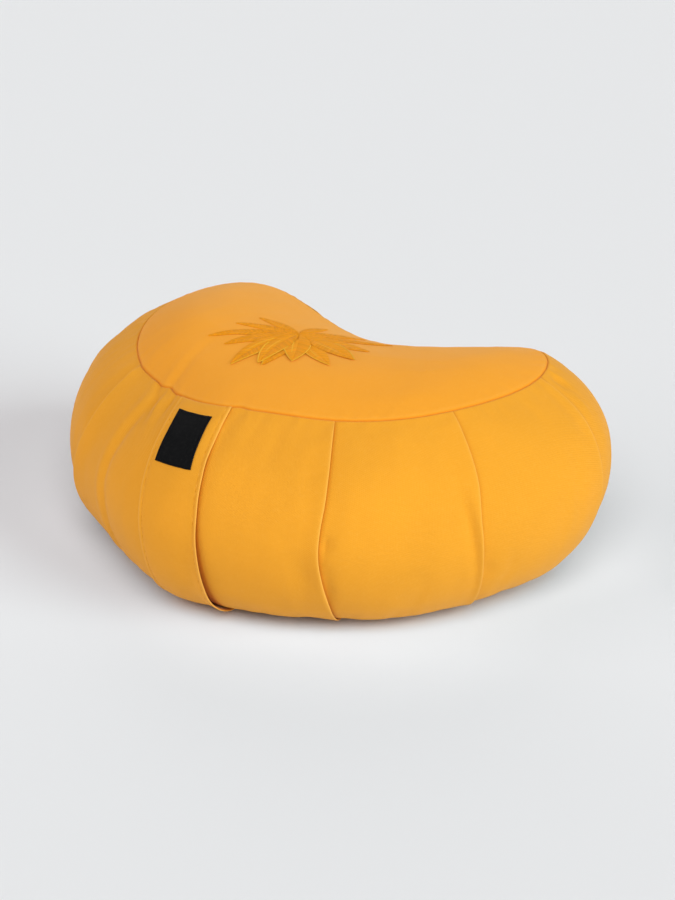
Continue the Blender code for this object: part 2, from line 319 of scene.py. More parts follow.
class CushionSizes(PropertyGroup):
    """Sizes of the cover's folds, seams and thread."""

    pleat_height: share_property(
        "Pleat height", "How far a folded edge stands off the side, as a share of the table's", 1.0, 0.2, 2.0,
    )
    seam_depth: length_property("Seam depth", "How deep the groove at a seam is", 0.0013, 0.0, 0.003)
    seam_width: length_property(
        "Seam width", "Width of the groove on each side of a seam", 0.0017, 0.0005, 0.006,
    )
    ripple_height: length_property(
        "Ripple height", "Height of the soft unevenness of the filling under the cloth", 0.00035, 0.0, 0.002,
    )
    pucker_height: length_property(
        "Pucker height", "Height of the fine puckers beside a seam", 0.00022, 0.0, 0.001,
    )
    filling_pressure: FloatProperty(
        name="Filling pressure", description="Pressure of the filling in the simulation",
        default=4.0, min=0.0, max=20.0,
    )
    cloth_ease: share_property(
        "Cloth ease", "How much longer the cloth is cut than the form it covers", 0.03, 0.0, 0.1,
    )
    stitch_length: length_property("Stitch length", "Length of a stitch of the strap", 0.0022, 0.001, 0.006)
    stitch_pitch: length_property(
        "Stitch pitch", "Distance from one stitch to the next", 0.0029, 0.001, 0.008,
    )
    stitch_width: length_property("Stitch width", "Thickness of the sewing thread", 0.00042, 0.0002, 0.002)
    satin_pitch: length_property(
        "Satin pitch", "Distance between the satin stitches of the lotus", 0.00062, 0.0003, 0.002,
    )
    satin_width: length_property(
        "Satin thread width", "Thickness of the embroidery thread", 0.00074, 0.0002, 0.002,
    )
    satin_loft: length_property(
        "Satin loft", "How far a satin stitch arches off the cloth", 0.00030, 0.0, 0.002,
    )
    seed: IntProperty(name="Seed", description="Start of every irregular placing", default=7, min=0)


class CushionColours(PropertyGroup):
    """Colours of the cloth, threads, label and floor."""

    cotton: colour_property("Cotton", "Colour of the cotton twill", (0.815, 0.318, 0.0145))
    # Paler twill for the weave, lint and wear, also used for the painted highlight on the pleats' folded
    # edges and beside the crown's seam.
    cotton_pale: colour_property(
        "Worn cotton", "Colour of the twill where its surface fibres have lifted", (0.93, 0.47, 0.085),
    )
    satin: colour_property(
        "Satin thread", "Colour of the filling stitches of the lotus", (0.88, 0.320, 0.010),
    )
    # Light thread of the petals' rims and veins; on the rims it is a painted highlight for the satin's sheen.
    satin_light: colour_property(
        "Light satin thread", "Colour of the stitches that edge the petals", (0.98, 0.50, 0.03),
    )
    label: colour_property("Label", "Colour of the woven label", (0.0026, 0.0026, 0.0030))
    floor: colour_property("Floor", "Colour of the floor", (0.833, 0.803, 0.813))


class CushionLight(PropertyGroup):
    """Studio light round the cushion."""

    sky: FloatProperty(
        name="Sky", description="Strength of the even light from all round", default=0.124, min=0.0, max=3.0,
    )
    strength: share_property("Strength", "Share of every soft light's strength", 1.0, 0.0, 4.0)
    softness: FloatProperty(
        name="Softness", description="Width of each soft light as seen from the cushion",
        default=0.7, min=0.05, max=1.5, subtype="ANGLE", unit="ROTATION",
    )


def smooth_step(value):
    value = np.clip(value, 0.0, 1.0)
    return value * value * (3.0 - 2.0 * value)


def hermite(part, start, end, start_slope, end_slope):
    """A smooth step between two values, with its slopes over the whole step."""
    rest = 1.0 - part
    ends = start * (1.0 + 2.0 * part) * rest**2 + end * part**2 * (3.0 - 2.0 * part)
    return ends + start_slope * part * rest**2 - end_slope * part**2 * rest


def closed_spline(values, turns):
    """A smooth closed curve through evenly spaced values, read at shares of a turn."""
    values = np.asarray(values, float)
    count = len(values)
    after, before = np.roll(values, -1, axis=0), np.roll(values, 1, axis=0)
    identity = np.eye(count)
    chain = 4.0 * identity + np.roll(identity, 1, axis=0) + np.roll(identity, -1, axis=0)
    slopes = np.linalg.solve(chain, 3.0 * (after - before))
    steps = (np.asarray(turns) % 1.0) * count
    first = np.floor(steps).astype(int) % count
    second = (first + 1) % count
    part = steps - np.floor(steps)
    if values.ndim > 1:
        part = part[..., None]
    return hermite(part, values[first], values[second], slopes[first], slopes[second])


def station_values(*columns):
    rows = [[getattr(station, column) * MM for column in columns] for station in STATIONS]
    return np.array(rows)


def all_round(count):
    """So many places round the seam, evenly spaced."""
    return np.linspace(0.0, 1.0, count + 1)[:-1]


def run_lengths(line):
    """How far along a line each of its points lies."""
    return np.concatenate(([0.0], np.cumsum(np.linalg.norm(np.diff(line, axis=0), axis=1))))


def seam_lengths():
    """Turns round the stations, and the length of seam that lies before each."""
    turns = np.linspace(0.0, 1.0, SEAM_STEPS + 1)
    return turns, run_lengths(closed_spline(station_values("x", "y"), turns))


TURNS, LENGTHS = seam_lengths()
SEAM_LENGTH = LENGTHS[-1]


def apart(places, place):
    """Shares of the seam from one place to others, the short way round."""
    return (places - place + 0.5) % 1.0 - 0.5


def seam(places):
    """Plan point, outward direction, swell and height of the top seam at shares of its length."""
    places = np.asarray(places, float)
    turns = np.interp(places % 1.0, LENGTHS / SEAM_LENGTH, TURNS)
    plan = station_values("x", "y")
    step = 1.0 / SEAM_STEPS
    along = closed_spline(plan, turns + step) - closed_spline(plan, turns - step)
    along = along / np.linalg.norm(along, axis=-1, keepdims=True)
    outward = np.stack([along[..., 1], -along[..., 0]], axis=-1)
    wander = SEAM_WANDER * ripples(places, np.array(0.0), 62, 0.0, 11)
    points = closed_spline(plan, turns) - outward * wander[..., None]
    swell_and_height = closed_spline(station_values("swell", "height"), turns)
    rise = 0.0
    for nick in NICKS:
        share = np.exp(-((apart(places, nick.place) / nick.spread) ** 2))
        points = points - outward * share[..., None] * nick.inward * MM
        rise = rise + share * nick.rise * MM
    return points, outward, swell_and_height[..., 0], swell_and_height[..., 1] + rise


def foot_seam(points, outward):
    return points + outward * FOOT_OUTSET - np.array([0.0, FOOT_FORWARD])


def smooth_side(places, depths):
    """The side without its folds. A depth of 0 is the top seam and 1 is the foot seam."""
    places, depths = np.broadcast_arrays(places, depths)
    points, outward, swell, height = seam(places)
    slope = SEAM_SLOPE * (1.0 - depths)
    level = np.cos(np.pi * depths) * (1.0 - slope) + slope * (1.0 - 2.0 * depths)
    fall = (1.0 - level) / 2.0
    bulge = swell * np.sin(np.pi * np.clip(depths, 0.0, 1.0)) ** SIDE_ROUNDNESS
    plan = points * (1.0 - fall)[..., None] + foot_seam(points, outward) * fall[..., None]
    plan = plan + outward * bulge[..., None]
    level = height * (1.0 - fall) + FOOT_SEAM_HEIGHT * fall
    return np.concatenate([plan, level[..., None]], axis=-1)


def side_normals(places, depths):
    """Outward normals of the smooth side."""
    within = np.clip(depths, PROBE, 1.0 - PROBE)
    along = smooth_side(places + PROBE, within) - smooth_side(places - PROBE, within)
    down = smooth_side(places, within + PROBE) - smooth_side(places, within - PROBE)
    normals = np.cross(down, along)
    return normals / np.linalg.norm(normals, axis=-1, keepdims=True)


def lifted_side(places, depths, lift):
    places, depths = np.broadcast_arrays(places, depths)
    lift = np.broadcast_to(lift, places.shape)
    return smooth_side(places, depths) + side_normals(places, depths) * lift[..., None]


def ripples(places, depths, around, down, seed):
    """Soft uneven waves about 1 high, with so many round the seam and down the side."""
    chance = np.random.default_rng(seed)
    total = np.zeros(np.broadcast(places, depths).shape)
    layers = 9
    for _ in range(layers):
        turns = round(around * chance.uniform(0.45, 1.5)) * chance.choice((-1, 1))
        falls = down * chance.uniform(-1.3, 1.3)
        start = chance.uniform(0.0, 1.0)
        total = total + np.sin(2.0 * np.pi * (turns * places + falls * depths + start))
    return total / layers**0.5


def near_mean(tree, values, point, count, softening, power):
    """The values of the points nearest to a point, averaged by how near they are."""
    near = tree.find_n(point, count)
    weights = np.array([1.0 / (distance + softening) ** power for _, _, distance in near])
    return (values[[number for _, number, _ in near]] * weights[:, None]).sum(axis=0) / weights.sum()


def pushed(points):
    """Points moved as the filling has moved the cloth nearest to them."""
    if not FILLING:
        return points
    points = np.asarray(points, float)
    flat = points.reshape(-1, 3)
    push = [near_mean(FILLING["tree"], FILLING["push"], point, 6, 0.0008, 2) for point in flat]
    return points + np.array(push).reshape(points.shape)


def seam_dip(lengths, sizes):
    """How far the cloth sinks at a length away from a seam."""
    return -sizes.seam_depth * (1.0 - smooth_step(lengths / sizes.seam_width)) ** 1.5


def path_place(path, depth):
    """The place of a path at a depth, on a smooth line through its spots."""
    depths = np.array([spot.depth for spot in path])
    places = np.array([spot.place for spot in path])
    first = int(np.clip(np.searchsorted(depths, depth) - 1, 0, len(path) - 2))
    step = depths[first + 1] - depths[first]
    slopes = step * np.gradient(places, depths)[first:first + 2]
    return hermite((depth - depths[first]) / step, places[first], places[first + 1], *slopes)


def pleat_shifts(depth):
    """How far each pleat has moved along the seam at a depth."""
    return [path_place(pleat.path, depth) - pleat.path[0].place for pleat in PLEATS]


def cover_columns():
    """Columns of the side cover: each one's place, its row in the fold's table, and its pleat."""
    finer = np.concatenate([1.0 + np.linspace(*STRAP_COLUMNS), np.linspace(*PUCKER_COLUMNS)])
    places = []
    rows = []
    owners = []
    for owner, pleat in enumerate(PLEATS):
        after = PLEATS[(owner + 1) % len(PLEATS)]
        start = pleat.path[0].place
        end = start + apart(after.path[0].place, start)
        places += [start] * len(FOLD)
        rows += list(range(len(FOLD)))[:: pleat.faces]
        start += max(pleat.faces * FOLD[0].along, pleat.faces * FOLD[-1].along) * MM / SEAM_LENGTH
        end += min(after.faces * FOLD[0].along, after.faces * FOLD[-1].along) * MM / SEAM_LENGTH
        count = int(np.ceil((end - start) * SEAM_LENGTH / COLUMN_STEP))
        between = np.linspace(start, end, count + 1)[1:-1]
        between = np.union1d(between, finer[(finer > start + COLUMN_GAP) & (finer < end - COLUMN_GAP)])
        places += list(between)
        rows += [-1] * len(between)
        owners += [owner] * (len(FOLD) + len(between))
    return np.array(places), np.array(rows), np.array(owners)


def fold_values(name, rows):
    """A value of the fold's table for each column, and 0 between the pleats."""
    return np.array([getattr(fold, name) for fold in FOLD] + [0.0])[rows]


def pleat_faces(owners):
    return np.array([pleat.faces for pleat in PLEATS])[owners]


def dents(places, depths, table):
    """How far a table's dents and swellings lift the side."""
    total = np.zeros(np.broadcast(places, depths).shape)
    for dent in table:
        middle = dent.place + dent.lean * (depths - dent.depth)
        along = apart(places, middle) * SIDE_GIRTH / (dent.along * MM)
        down = (depths - dent.depth) * SIDE_LENGTH / (dent.down * MM)
        total = total + dent.lift * MM * np.exp(-(along**2) - down**2)
    return total


def cover_lift(places, depths, sizes):
    """The cover's height off the smooth side, without its pleats."""
    from_seams = np.minimum(depths, 1.0 - depths) * SIDE_LENGTH
    away = smooth_step(depths / 0.12) * smooth_step((1.0 - depths) / 0.12)
    near = 1.0 - smooth_step(from_seams / 0.018)
    lift = sizes.ripple_height * away * ripples(places, depths, 11, 2.2, sizes.seed)
    pucker = ripples(places, depths, 70, 1.0, sizes.seed + 1) * near * smooth_step(from_seams / 0.003)
    shaped = dents(places, depths, DENTS) + foot_swell(places, depths)
    return lift + sizes.pucker_height * pucker + seam_dip(from_seams, sizes) + shaped


def foot_swell(places, depths):
    """The broad fullness above the floor, gone at the foot seam."""
    return dents(places, depths, SWELLS) * smooth_step((1.0 - depths) / 0.1)


def cover_depths():
    """Depths of the cover's rings, closer together beside the seams."""
    edge = np.array([0.0, 0.0025, 0.005, 0.0085, 0.013, 0.019, 0.027])
    middle = np.linspace(0.037, 0.963, 100)
    return np.concatenate([edge, middle, 1.0 - edge[::-1]])


def cover_ring(places, rows, owners, depth, sizes):
    """One ring of the side cover, with its pleats folded over."""
    opening = TUCK_LEAST + (1.0 - TUCK_LEAST) * smooth_step(min(depth, 1.0 - depth) / TUCK_FADE)
    gapes = [pleat.gape * np.exp(-(((depth - pleat.gape_depth) / GAPE_SPREAD) ** 2)) for pleat in PLEATS]
    heights = (np.array([pleat.height for pleat in PLEATS]) * (1.0 + np.array(gapes)))[owners]
    along = fold_values("along", rows) * MM * pleat_faces(owners)
    along = along * np.where(fold_values("tucked", rows) == 1, opening, 1.0)
    lift = fold_values("lift", rows) * MM * opening * heights * sizes.pleat_height
    reach = -FOLD[0].along * MM / SEAM_LENGTH
    ends = [pleat.path[0].place + side * reach for pleat in PLEATS for side in (-1, 1)]
    shifts = np.interp(places, ends, np.repeat(pleat_shifts(depth), 2), period=1.0)
    spots = places + along / SEAM_LENGTH + shifts
    return spots, lift + cover_lift(spots, depth, sizes)


def spine(points):
    """The point on the crescent's middle line that faces each point of an outline."""
    across = np.clip(points[..., 0] * SPINE_SPREAD, -SPINE_HALF_LENGTH, SPINE_HALF_LENGTH)
    front = SPINE_FRONT + SPINE_BEND * (across / SPINE_HALF_LENGTH) ** 2
    return np.stack([across, front], axis=-1)


def crown_ring(places, share, inset, drop):
    """A ring of the crown, at a share of the way from the spine to the seam."""
    points, outward, _, height = seam(places)
    middle = spine(points)
    plan = middle + share * (points - outward * inset - middle)
    level = PEAK_HEIGHT + share**2 * (height - PEAK_HEIGHT) - drop
    return np.column_stack([plan, level])


def base_ring(places, share, inset, rise):
    """A ring of the underside, flat but for the curl up to its seam."""
    points, outward, _, _ = seam(places)
    middle = foot_seam(spine(points), 0.0 * outward)
    plan = middle + share * (foot_seam(points, outward) - outward * inset - middle)
    curl = FOOT_SEAM_HEIGHT * np.clip((share - 1.0 + FOOT_CURL) / FOOT_CURL, 0.0, 1.0) ** 2
    return np.column_stack([plan, np.full(len(places), curl + rise)])


def ring_mesh(name, rings, uvs, masks, turn=(0.0, 0.0)):
    """A closed mesh through rings of points, with UVs in metres and point values to shade by."""
    rings = np.asarray(rings)
    count, width = rings.shape[:2]
    index = np.arange(count * width).reshape(count, width)
    before = np.roll(index, 1, axis=1)
    quads = np.stack([before[:-1], index[:-1], index[1:], before[1:]], axis=-1).reshape(-1, 4)
    ends = [list(map(int, index[0])), list(map(int, index[-1][::-1]))]
    mesh = bpy.data.meshes.new(name)
    mesh.from_pydata(rings.reshape(-1, 3).tolist(), [], quads.tolist() + ends)
    corners = np.array([corner for face in mesh.polygons for corner in face.vertices])
    around = np.zeros((count - 1, width, 4))
    around[:, 0, [0, 3]] = -1.0
    steps = np.concatenate([around.ravel(), np.zeros(len(corners) - around.size)])
    places = np.asarray(uvs).reshape(-1, 2)[corners] + steps[:, None] * np.asarray(turn)
    mesh.uv_layers.new(name="UVMap").data.foreach_set("uv", places.astype(np.float32).ravel())
    for mask, values in masks.items():
        attribute = mesh.attributes.new(mask, "FLOAT", "POINT")
        attribute.data.foreach_set("value", np.asarray(values, np.float32).ravel())
    work = bmesh.new()
    work.from_mesh(mesh)
    bmesh.ops.triangulate(work, faces=[face for face in work.faces if len(face.verts) > 4])
    bmesh.ops.recalc_face_normals(work, faces=work.faces[:])
    work.to_mesh(mesh)
    work.free()
    mesh.shade_smooth()
    return mesh


def add_object(name, data):
    piece = bpy.data.objects.new(name, data)
    bpy.context.scene.collection.objects.link(piece)
    return piece


def evaluated(piece):
    bpy.context.view_layer.update()
    return piece.evaluated_get(bpy.context.evaluated_depsgraph_get())


def show(name, mesh, material):
    mesh.materials.clear()
    mesh.materials.append(material)
    return add_object(name, mesh)


def dress(piece, node):
    """Fastens a finished piece to the part's body, in place of a node where it has one."""
    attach(piece, BODY)
    if node:
        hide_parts(node)


def feed(tree, node, inputs):
    """Links a node's inputs to sockets, or sets them to values, by name or number."""
    for key, source in inputs.items():
        if isinstance(source, bpy.types.NodeSocket):
            tree.links.new(source, node.inputs[key])
        else:
            node.inputs[key].default_value = source


def new_node(tree, kind, place, inputs=(), **settings):
    node = tree.nodes.new(kind)
    node.location = (place[0] * 200, place[1] * -180)
    for key, value in settings.items():
        setattr(node, key, value)
    feed(tree, node, dict(inputs))
    return node


def calculate(tree, place, operation, *sources):
    return new_node(tree, "ShaderNodeMath", place, enumerate(sources), operation=operation).outputs[0]


def vector_maths(tree, place, operation, first, second):
    key = "Scale" if operation == "SCALE" else 1
    node = new_node(tree, "ShaderNodeVectorMath", place, {0: first, key: second}, operation=operation)
    return node.outputs[0]


def noise(tree, place, vector, scale, detail, roughness=0.5):
    inputs = {"Vector": vector, "Scale": scale, "Detail": detail, "Roughness": roughness}
    return new_node(tree, "ShaderNodeTexNoise", place, inputs).outputs[0]


def add_socket(tree, name, kind, side, default=None, description=""):
    socket = tree.interface.new_socket(name=name, in_out=side, socket_type=kind)
    socket.description = description
    if default is not None:
        socket.default_value = default
    return socket.identifier


def shader_group(name, inputs, outputs):
    """A shader group with its sockets, and what its input node gives."""
    tree = bpy.data.node_groups.new(name, "ShaderNodeTree")
    add_socket(tree, "Vector", "NodeSocketVector", "INPUT", None, "Place on the piece in metres")
    for socket, default, description in inputs:
        add_socket(tree, socket, "NodeSocketFloat", "INPUT", default, description)
    for socket, description in outputs:
        add_socket(tree, socket, "NodeSocketFloat", "OUTPUT", None, description)
    return tree, new_node(tree, "NodeGroupInput", (0, 0)).outputs


def twill_group():
    """Diagonal wales crossed by their threads, as a height and a shade."""
    found = bpy.data.node_groups.get("Twill weave")
    if found:
        return found
    inputs = (("Wale pitch", 0.0014, "Distance between two wales"), ("Slant", -0.6, "Slope of the wales"))
    outputs = (("Height", "Relief from 0 to 1"), ("Shade", "Lightness from 0 to 1"))
    tree, given = shader_group("Twill weave", inputs, outputs)
    parts = new_node(tree, "ShaderNodeSeparateXYZ", (1, 0), {0: given["Vector"]}).outputs
    sway = noise(tree, (1, 2), given["Vector"], 60.0, 2.0)
    bent = calculate(tree, (2, 2), "MULTIPLY_ADD", sway, 0.0016, parts["Y"])
    slanted = calculate(tree, (3, 1), "MULTIPLY_ADD", parts["X"], given["Slant"], bent)
    wales = calculate(tree, (4, 1), "DIVIDE", slanted, given["Wale pitch"])
    wave = calculate(tree, (5, 1), "SINE", calculate(tree, (4, 2), "MULTIPLY", wales, 6.2832))
    threads = calculate(tree, (3, 3), "DIVIDE", parts["X"], given["Wale pitch"])
    beat = calculate(tree, (5, 3), "SINE", calculate(tree, (4, 3), "MULTIPLY", threads, 11.3))
    both = calculate(tree, (6, 2), "MULTIPLY_ADD", beat, 0.25, wave)
    height = calculate(tree, (7, 2), "MULTIPLY_ADD", both, 0.38, 0.5)
    drawn = vector_maths(tree, (4, 5), "MULTIPLY", given["Vector"], (1.0, 0.35, 1.0))
    yarn = noise(tree, (5, 5), drawn, 900.0, 2.0)
    mixed = calculate(tree, (7, 4), "MULTIPLY_ADD", yarn, 0.8, height)
    shade = calculate(tree, (8, 4), "MULTIPLY", mixed, 0.55)
    new_node(tree, "NodeGroupOutput", (9, 2), {"Height": mixed, "Shade": shade})
    return tree


def mottle_group():
    """Slow unevenness of dye and fine lint, from 0 to 1."""
    found = bpy.data.node_groups.get("Dye and lint")
    if found:
        return found
    outputs = (("Dye", "Slow change of tone"), ("Lint", "Specks of lifted fibre"))
    tree, given = shader_group(
        "Dye and lint", (("Patch size", 0.05, "Size of the dye's patches"),), outputs
    )
    scale = calculate(tree, (1, 1), "DIVIDE", 1.0, given["Patch size"])
    slow = noise(tree, (2, 0), given["Vector"], scale, 3.0)
    fine = noise(tree, (2, 2), given["Vector"], 420.0, 4.0, 0.7)
    spread = new_node(tree, "ShaderNodeMapRange", (3, 0), {0: slow, 1: 0.3, 2: 0.7})
    specks = new_node(tree, "ShaderNodeMapRange", (3, 2), {0: fine, 1: 0.5, 2: 0.72})
    new_node(tree, "NodeGroupOutput", (4, 1), {"Dye": spread.outputs[0], "Lint": specks.outputs[0]})
    return tree


def blank_material(name):
    found = bpy.data.materials.get(name)
    if found:
        bpy.data.materials.remove(found)
    material = bpy.data.materials.new(name)
    material.use_nodes = True
    tree = material.node_tree
    tree.nodes.clear()
    shader = new_node(tree, "ShaderNodeBsdfPrincipled", (8, 0))
    result = new_node(tree, "ShaderNodeOutputMaterial", (10, 0))
    tree.links.new(shader.outputs[0], result.inputs["Surface"])
    return material, tree, shader


def mix_colours(tree, place, amount, first, second):
    inputs = {0: amount, 6: first, 7: second}
    return new_node(tree, "ShaderNodeMix", place, inputs, data_type="RGBA", blend_type="MIX").outputs[2]


def group_node(tree, group, place, inputs):
    return new_node(tree, "ShaderNodeGroup", place, inputs, node_tree=group).outputs


def point_value(tree, place, name):
    return new_node(tree, "ShaderNodeAttribute", place, attribute_name=name).outputs["Fac"]


def add_bump(tree, place, shader, strength, distance, height):
    inputs = {"Strength": strength, "Distance": distance, "Height": height}
    feed(tree, shader, {"Normal": new_node(tree, "ShaderNodeBump", place, inputs).outputs[0]})


def shaded(colour, factor):
    return tuple(channel * factor for channel in colour[:3]) + (1.0,)


def layered(tree, column, seen, layers):
    """Mixes layers of colour over what is seen, each by a socket and a share of it."""
    for step, (amount, share, colour) in enumerate(layers):
        amount = calculate(tree, (column + step, 3), "MULTIPLY", amount, share)
        seen = mix_colours(tree, (column + step, 1), amount, seen, colour)
    return seen


def cotton_material(name, colours, slant, patch_size, painted_lightness=1.0, painted_redness=1.0):
    """Matt cotton twill, darkened by painted shade in its creases, along its seams and under and beside the
    strap, and paler along its folds and edges, partly from wear and partly as a painted highlight.
    """
    material, tree, shader = blank_material(name)
    # The lightness and redness factors make a lit copy of the cotton: painted light.
    red, green, blue, alpha = shaded(tuple(colours.cotton), painted_lightness)
    cotton = (red * painted_redness, green, blue, alpha)
    # Darker copy of the cotton: the colour of painted shade in creases, along seams and by the strap.
    creased = (cotton[0] * 0.74, cotton[1] * 0.5, cotton[2] * 0.3, 1.0)
    worn_and_lit = tuple(colours.cotton_pale)
    place = new_node(tree, "ShaderNodeTexCoord", (0, 0)).outputs
    weave = group_node(tree, twill_group(), (1, 0), {"Vector": place["UV"], "Slant": slant})
    tone = group_node(tree, mottle_group(), (1, 2), {"Vector": place["Object"], "Patch size": patch_size})
    dyed = mix_colours(tree, (3, 1), tone["Dye"], shaded(cotton, 0.955), shaded(cotton, 1.03))
    cloth = layered(tree, 4, dyed, (
        (weave["Shade"], 0.22, worn_and_lit),
        (tone["Lint"], 0.10, worn_and_lit),
        # Paler edges: wear along the strap, and a painted highlight on the pleats' folded edges and beside
        # the crown's seam.
        (point_value(tree, (4, 4), "rubbed"), 0.55, worn_and_lit),
        # Painted shade in creases, along seams and under and beside the strap.
        (point_value(tree, (4, 6), "creased"), 0.8, creased),
    ))
    path = new_node(tree, "ShaderNodeLightPath", (6, 6)).outputs
    inputs = {"Value": path["Ray Length"], "From Min": THROWN_NEAR, "From Max": THROWN_FAR}
    distant = new_node(tree, "ShaderNodeMapRange", (7, 6), inputs).outputs["Result"]
    thrown = calculate(tree, (8, 6), "MULTIPLY", path["Is Diffuse Ray"], distant)
    feed(tree, shader, {
        "Base Color": mix_colours(tree, (9, 1), thrown, cloth, THROWN_COLOUR),
        "Roughness": 0.88, "Sheen Weight": 0.25, "Sheen Roughness": 0.45,
        "Sheen Tint": (1.0, 0.72, 0.40, 1.0), "Specular IOR Level": 0.10,
    })
    add_bump(tree, (6, 3), shader, 0.5, 0.00022, weave["Height"])
    return material


def thread_material(name, colour, light, roughness):
    """Twisted thread whose stitches differ a little in tone."""
    material, tree, shader = blank_material(name)
    tone = point_value(tree, (0, 0), "tone")
    varied = mix_colours(tree, (2, 0), tone, shaded(colour, 0.86), light)
    place = new_node(tree, "ShaderNodeTexCoord", (0, 2)).outputs
    grain = noise(tree, (1, 2), place["Object"], 2200.0, 1.0)
    amount = calculate(tree, (2, 2), "MULTIPLY", grain, 0.3)
    feed(tree, shader, {
        "Base Color": mix_colours(tree, (4, 0), amount, varied, shaded(colour, 0.6)),
        "Roughness": roughness, "Specular IOR Level": 0.10, "Specular Tint": shaded(light, 1.0),
    })
    add_bump(tree, (5, 2), shader, 0.4, 0.0001, grain)
    return material


def label_material(colours):
    """Black satin weave of the label, with its fine cross ribs."""
    material, tree, shader = blank_material("Black woven label")
    black = tuple(colours.label)
    place = new_node(tree, "ShaderNodeTexCoord", (0, 0)).outputs
    ribs = {"Vector": place["UV"], "Slant": 0.0, "Wale pitch": 0.0006}
    weave = group_node(tree, twill_group(), (1, 0), ribs)
    tone = group_node(tree, mottle_group(), (1, 2), {"Vector": place["Object"], "Patch size": 0.012})
    woven = mix_colours(tree, (3, 0), weave["Shade"], shaded(black, 0.6), shaded(black, 2.2))
    cloth = layered(tree, 4, woven, (
        (tone["Lint"], 0.05, (0.12, 0.11, 0.10, 1.0)),
        (point_value(tree, (3, 4), "rubbed"), 0.5, (0.0, 0.004, 0.014, 1.0)),
    ))
    feed(tree, shader, {"Base Color": cloth, "Roughness": 0.62, "Specular IOR Level": 0.07})
    add_bump(tree, (5, 3), shader, 0.6, 0.00015, weave["Height"])
    return material


def floor_material(colours):
    """Even pale studio floor."""
    material, tree, shader = blank_material("Pale studio floor")
    pale = tuple(colours.floor)
    place = new_node(tree, "ShaderNodeTexCoord", (0, 0)).outputs
    tone = group_node(tree, mottle_group(), (1, 0), {"Vector": place["Object"], "Patch size": 0.9})
    seen = layered(tree, 2, pale, ((tone["Dye"], 0.5, shaded(pale, 1.006)),))
    feed(tree, shader, {"Base Color": seen, "Roughness": 0.85, "Specular IOR Level": 0.15})
    return material


def line_tree(name, more_inputs):
    """A Geometry Nodes tree that lays thread along lines: the tree, its sockets, and what they give."""
    tree = bpy.data.node_groups.new(name, "GeometryNodeTree")
    add_socket(tree, "Geometry", "NodeSocketGeometry", "INPUT")
    add_socket(tree, "Geometry", "NodeSocketGeometry", "OUTPUT")
    inputs = (
        ("Cloth", "NodeSocketObject", None), ("Width", "NodeSocketFloat", 0.0006),
        ("Wander", "NodeSocketFloat", 0.0001), ("Seed", "NodeSocketInt", 7),
        ("Thread", "NodeSocketMaterial", None), *more_inputs,
    )
    names = {socket: add_socket(tree, socket, kind, "INPUT", default) for socket, kind, default in inputs}
    return tree, names, new_node(tree, "NodeGroupInput", (0, 0)).outputs


def even_points(tree, given, mode, inputs):
    """The given lines as curves with evenly spaced points."""
    curve = new_node(tree, "GeometryNodeMeshToCurve", (1, 0), {"Mesh": given["Geometry"]}).outputs[0]
    inputs = {"Curve": curve, **inputs}
    return new_node(tree, "GeometryNodeResampleCurve", (2, 0), inputs, mode=mode).outputs[0]


def stray(tree, given, place, low, high):
    """A random offset for each point, as long as the given wander."""
    inputs = {"Min": low, "Max": high, "Seed": given["Seed"]}
    chance = new_node(tree, "FunctionNodeRandomValue", place, inputs, data_type="FLOAT_VECTOR").outputs[0]
    return vector_maths(tree, (place[0] + 1, place[1]), "SCALE", chance, given["Wander"])


def toned(tree, given, place, geometry, domain):
    """Gives each stitch a random tone to be shaded by."""
    chance = new_node(
        tree, "FunctionNodeRandomValue", (place[0] - 1, 3), {"Seed": given["Seed"]}, data_type="FLOAT"
    )
    inputs = {"Geometry": geometry, "Name": "tone", "Value": chance.outputs[1]}
    kind = "GeometryNodeStoreNamedAttribute"
    return new_node(tree, kind, place, inputs, data_type="FLOAT", domain=domain).outputs[0]


def finish_tree(tree, given, geometry, column):
    whole = new_node(tree, "GeometryNodeRealizeInstances", (column, 0), {0: geometry}).outputs[0]
    smooth = new_node(tree, "GeometryNodeSetShadeSmooth", (column + 1, 0), {"Geometry": whole}).outputs[0]
    inputs = {"Geometry": smooth, "Material": given["Thread"]}
    coloured = new_node(tree, "GeometryNodeSetMaterial", (column + 2, 0), inputs).outputs[0]
    new_node(tree, "NodeGroupOutput", (column + 3, 0), {0: coloured})


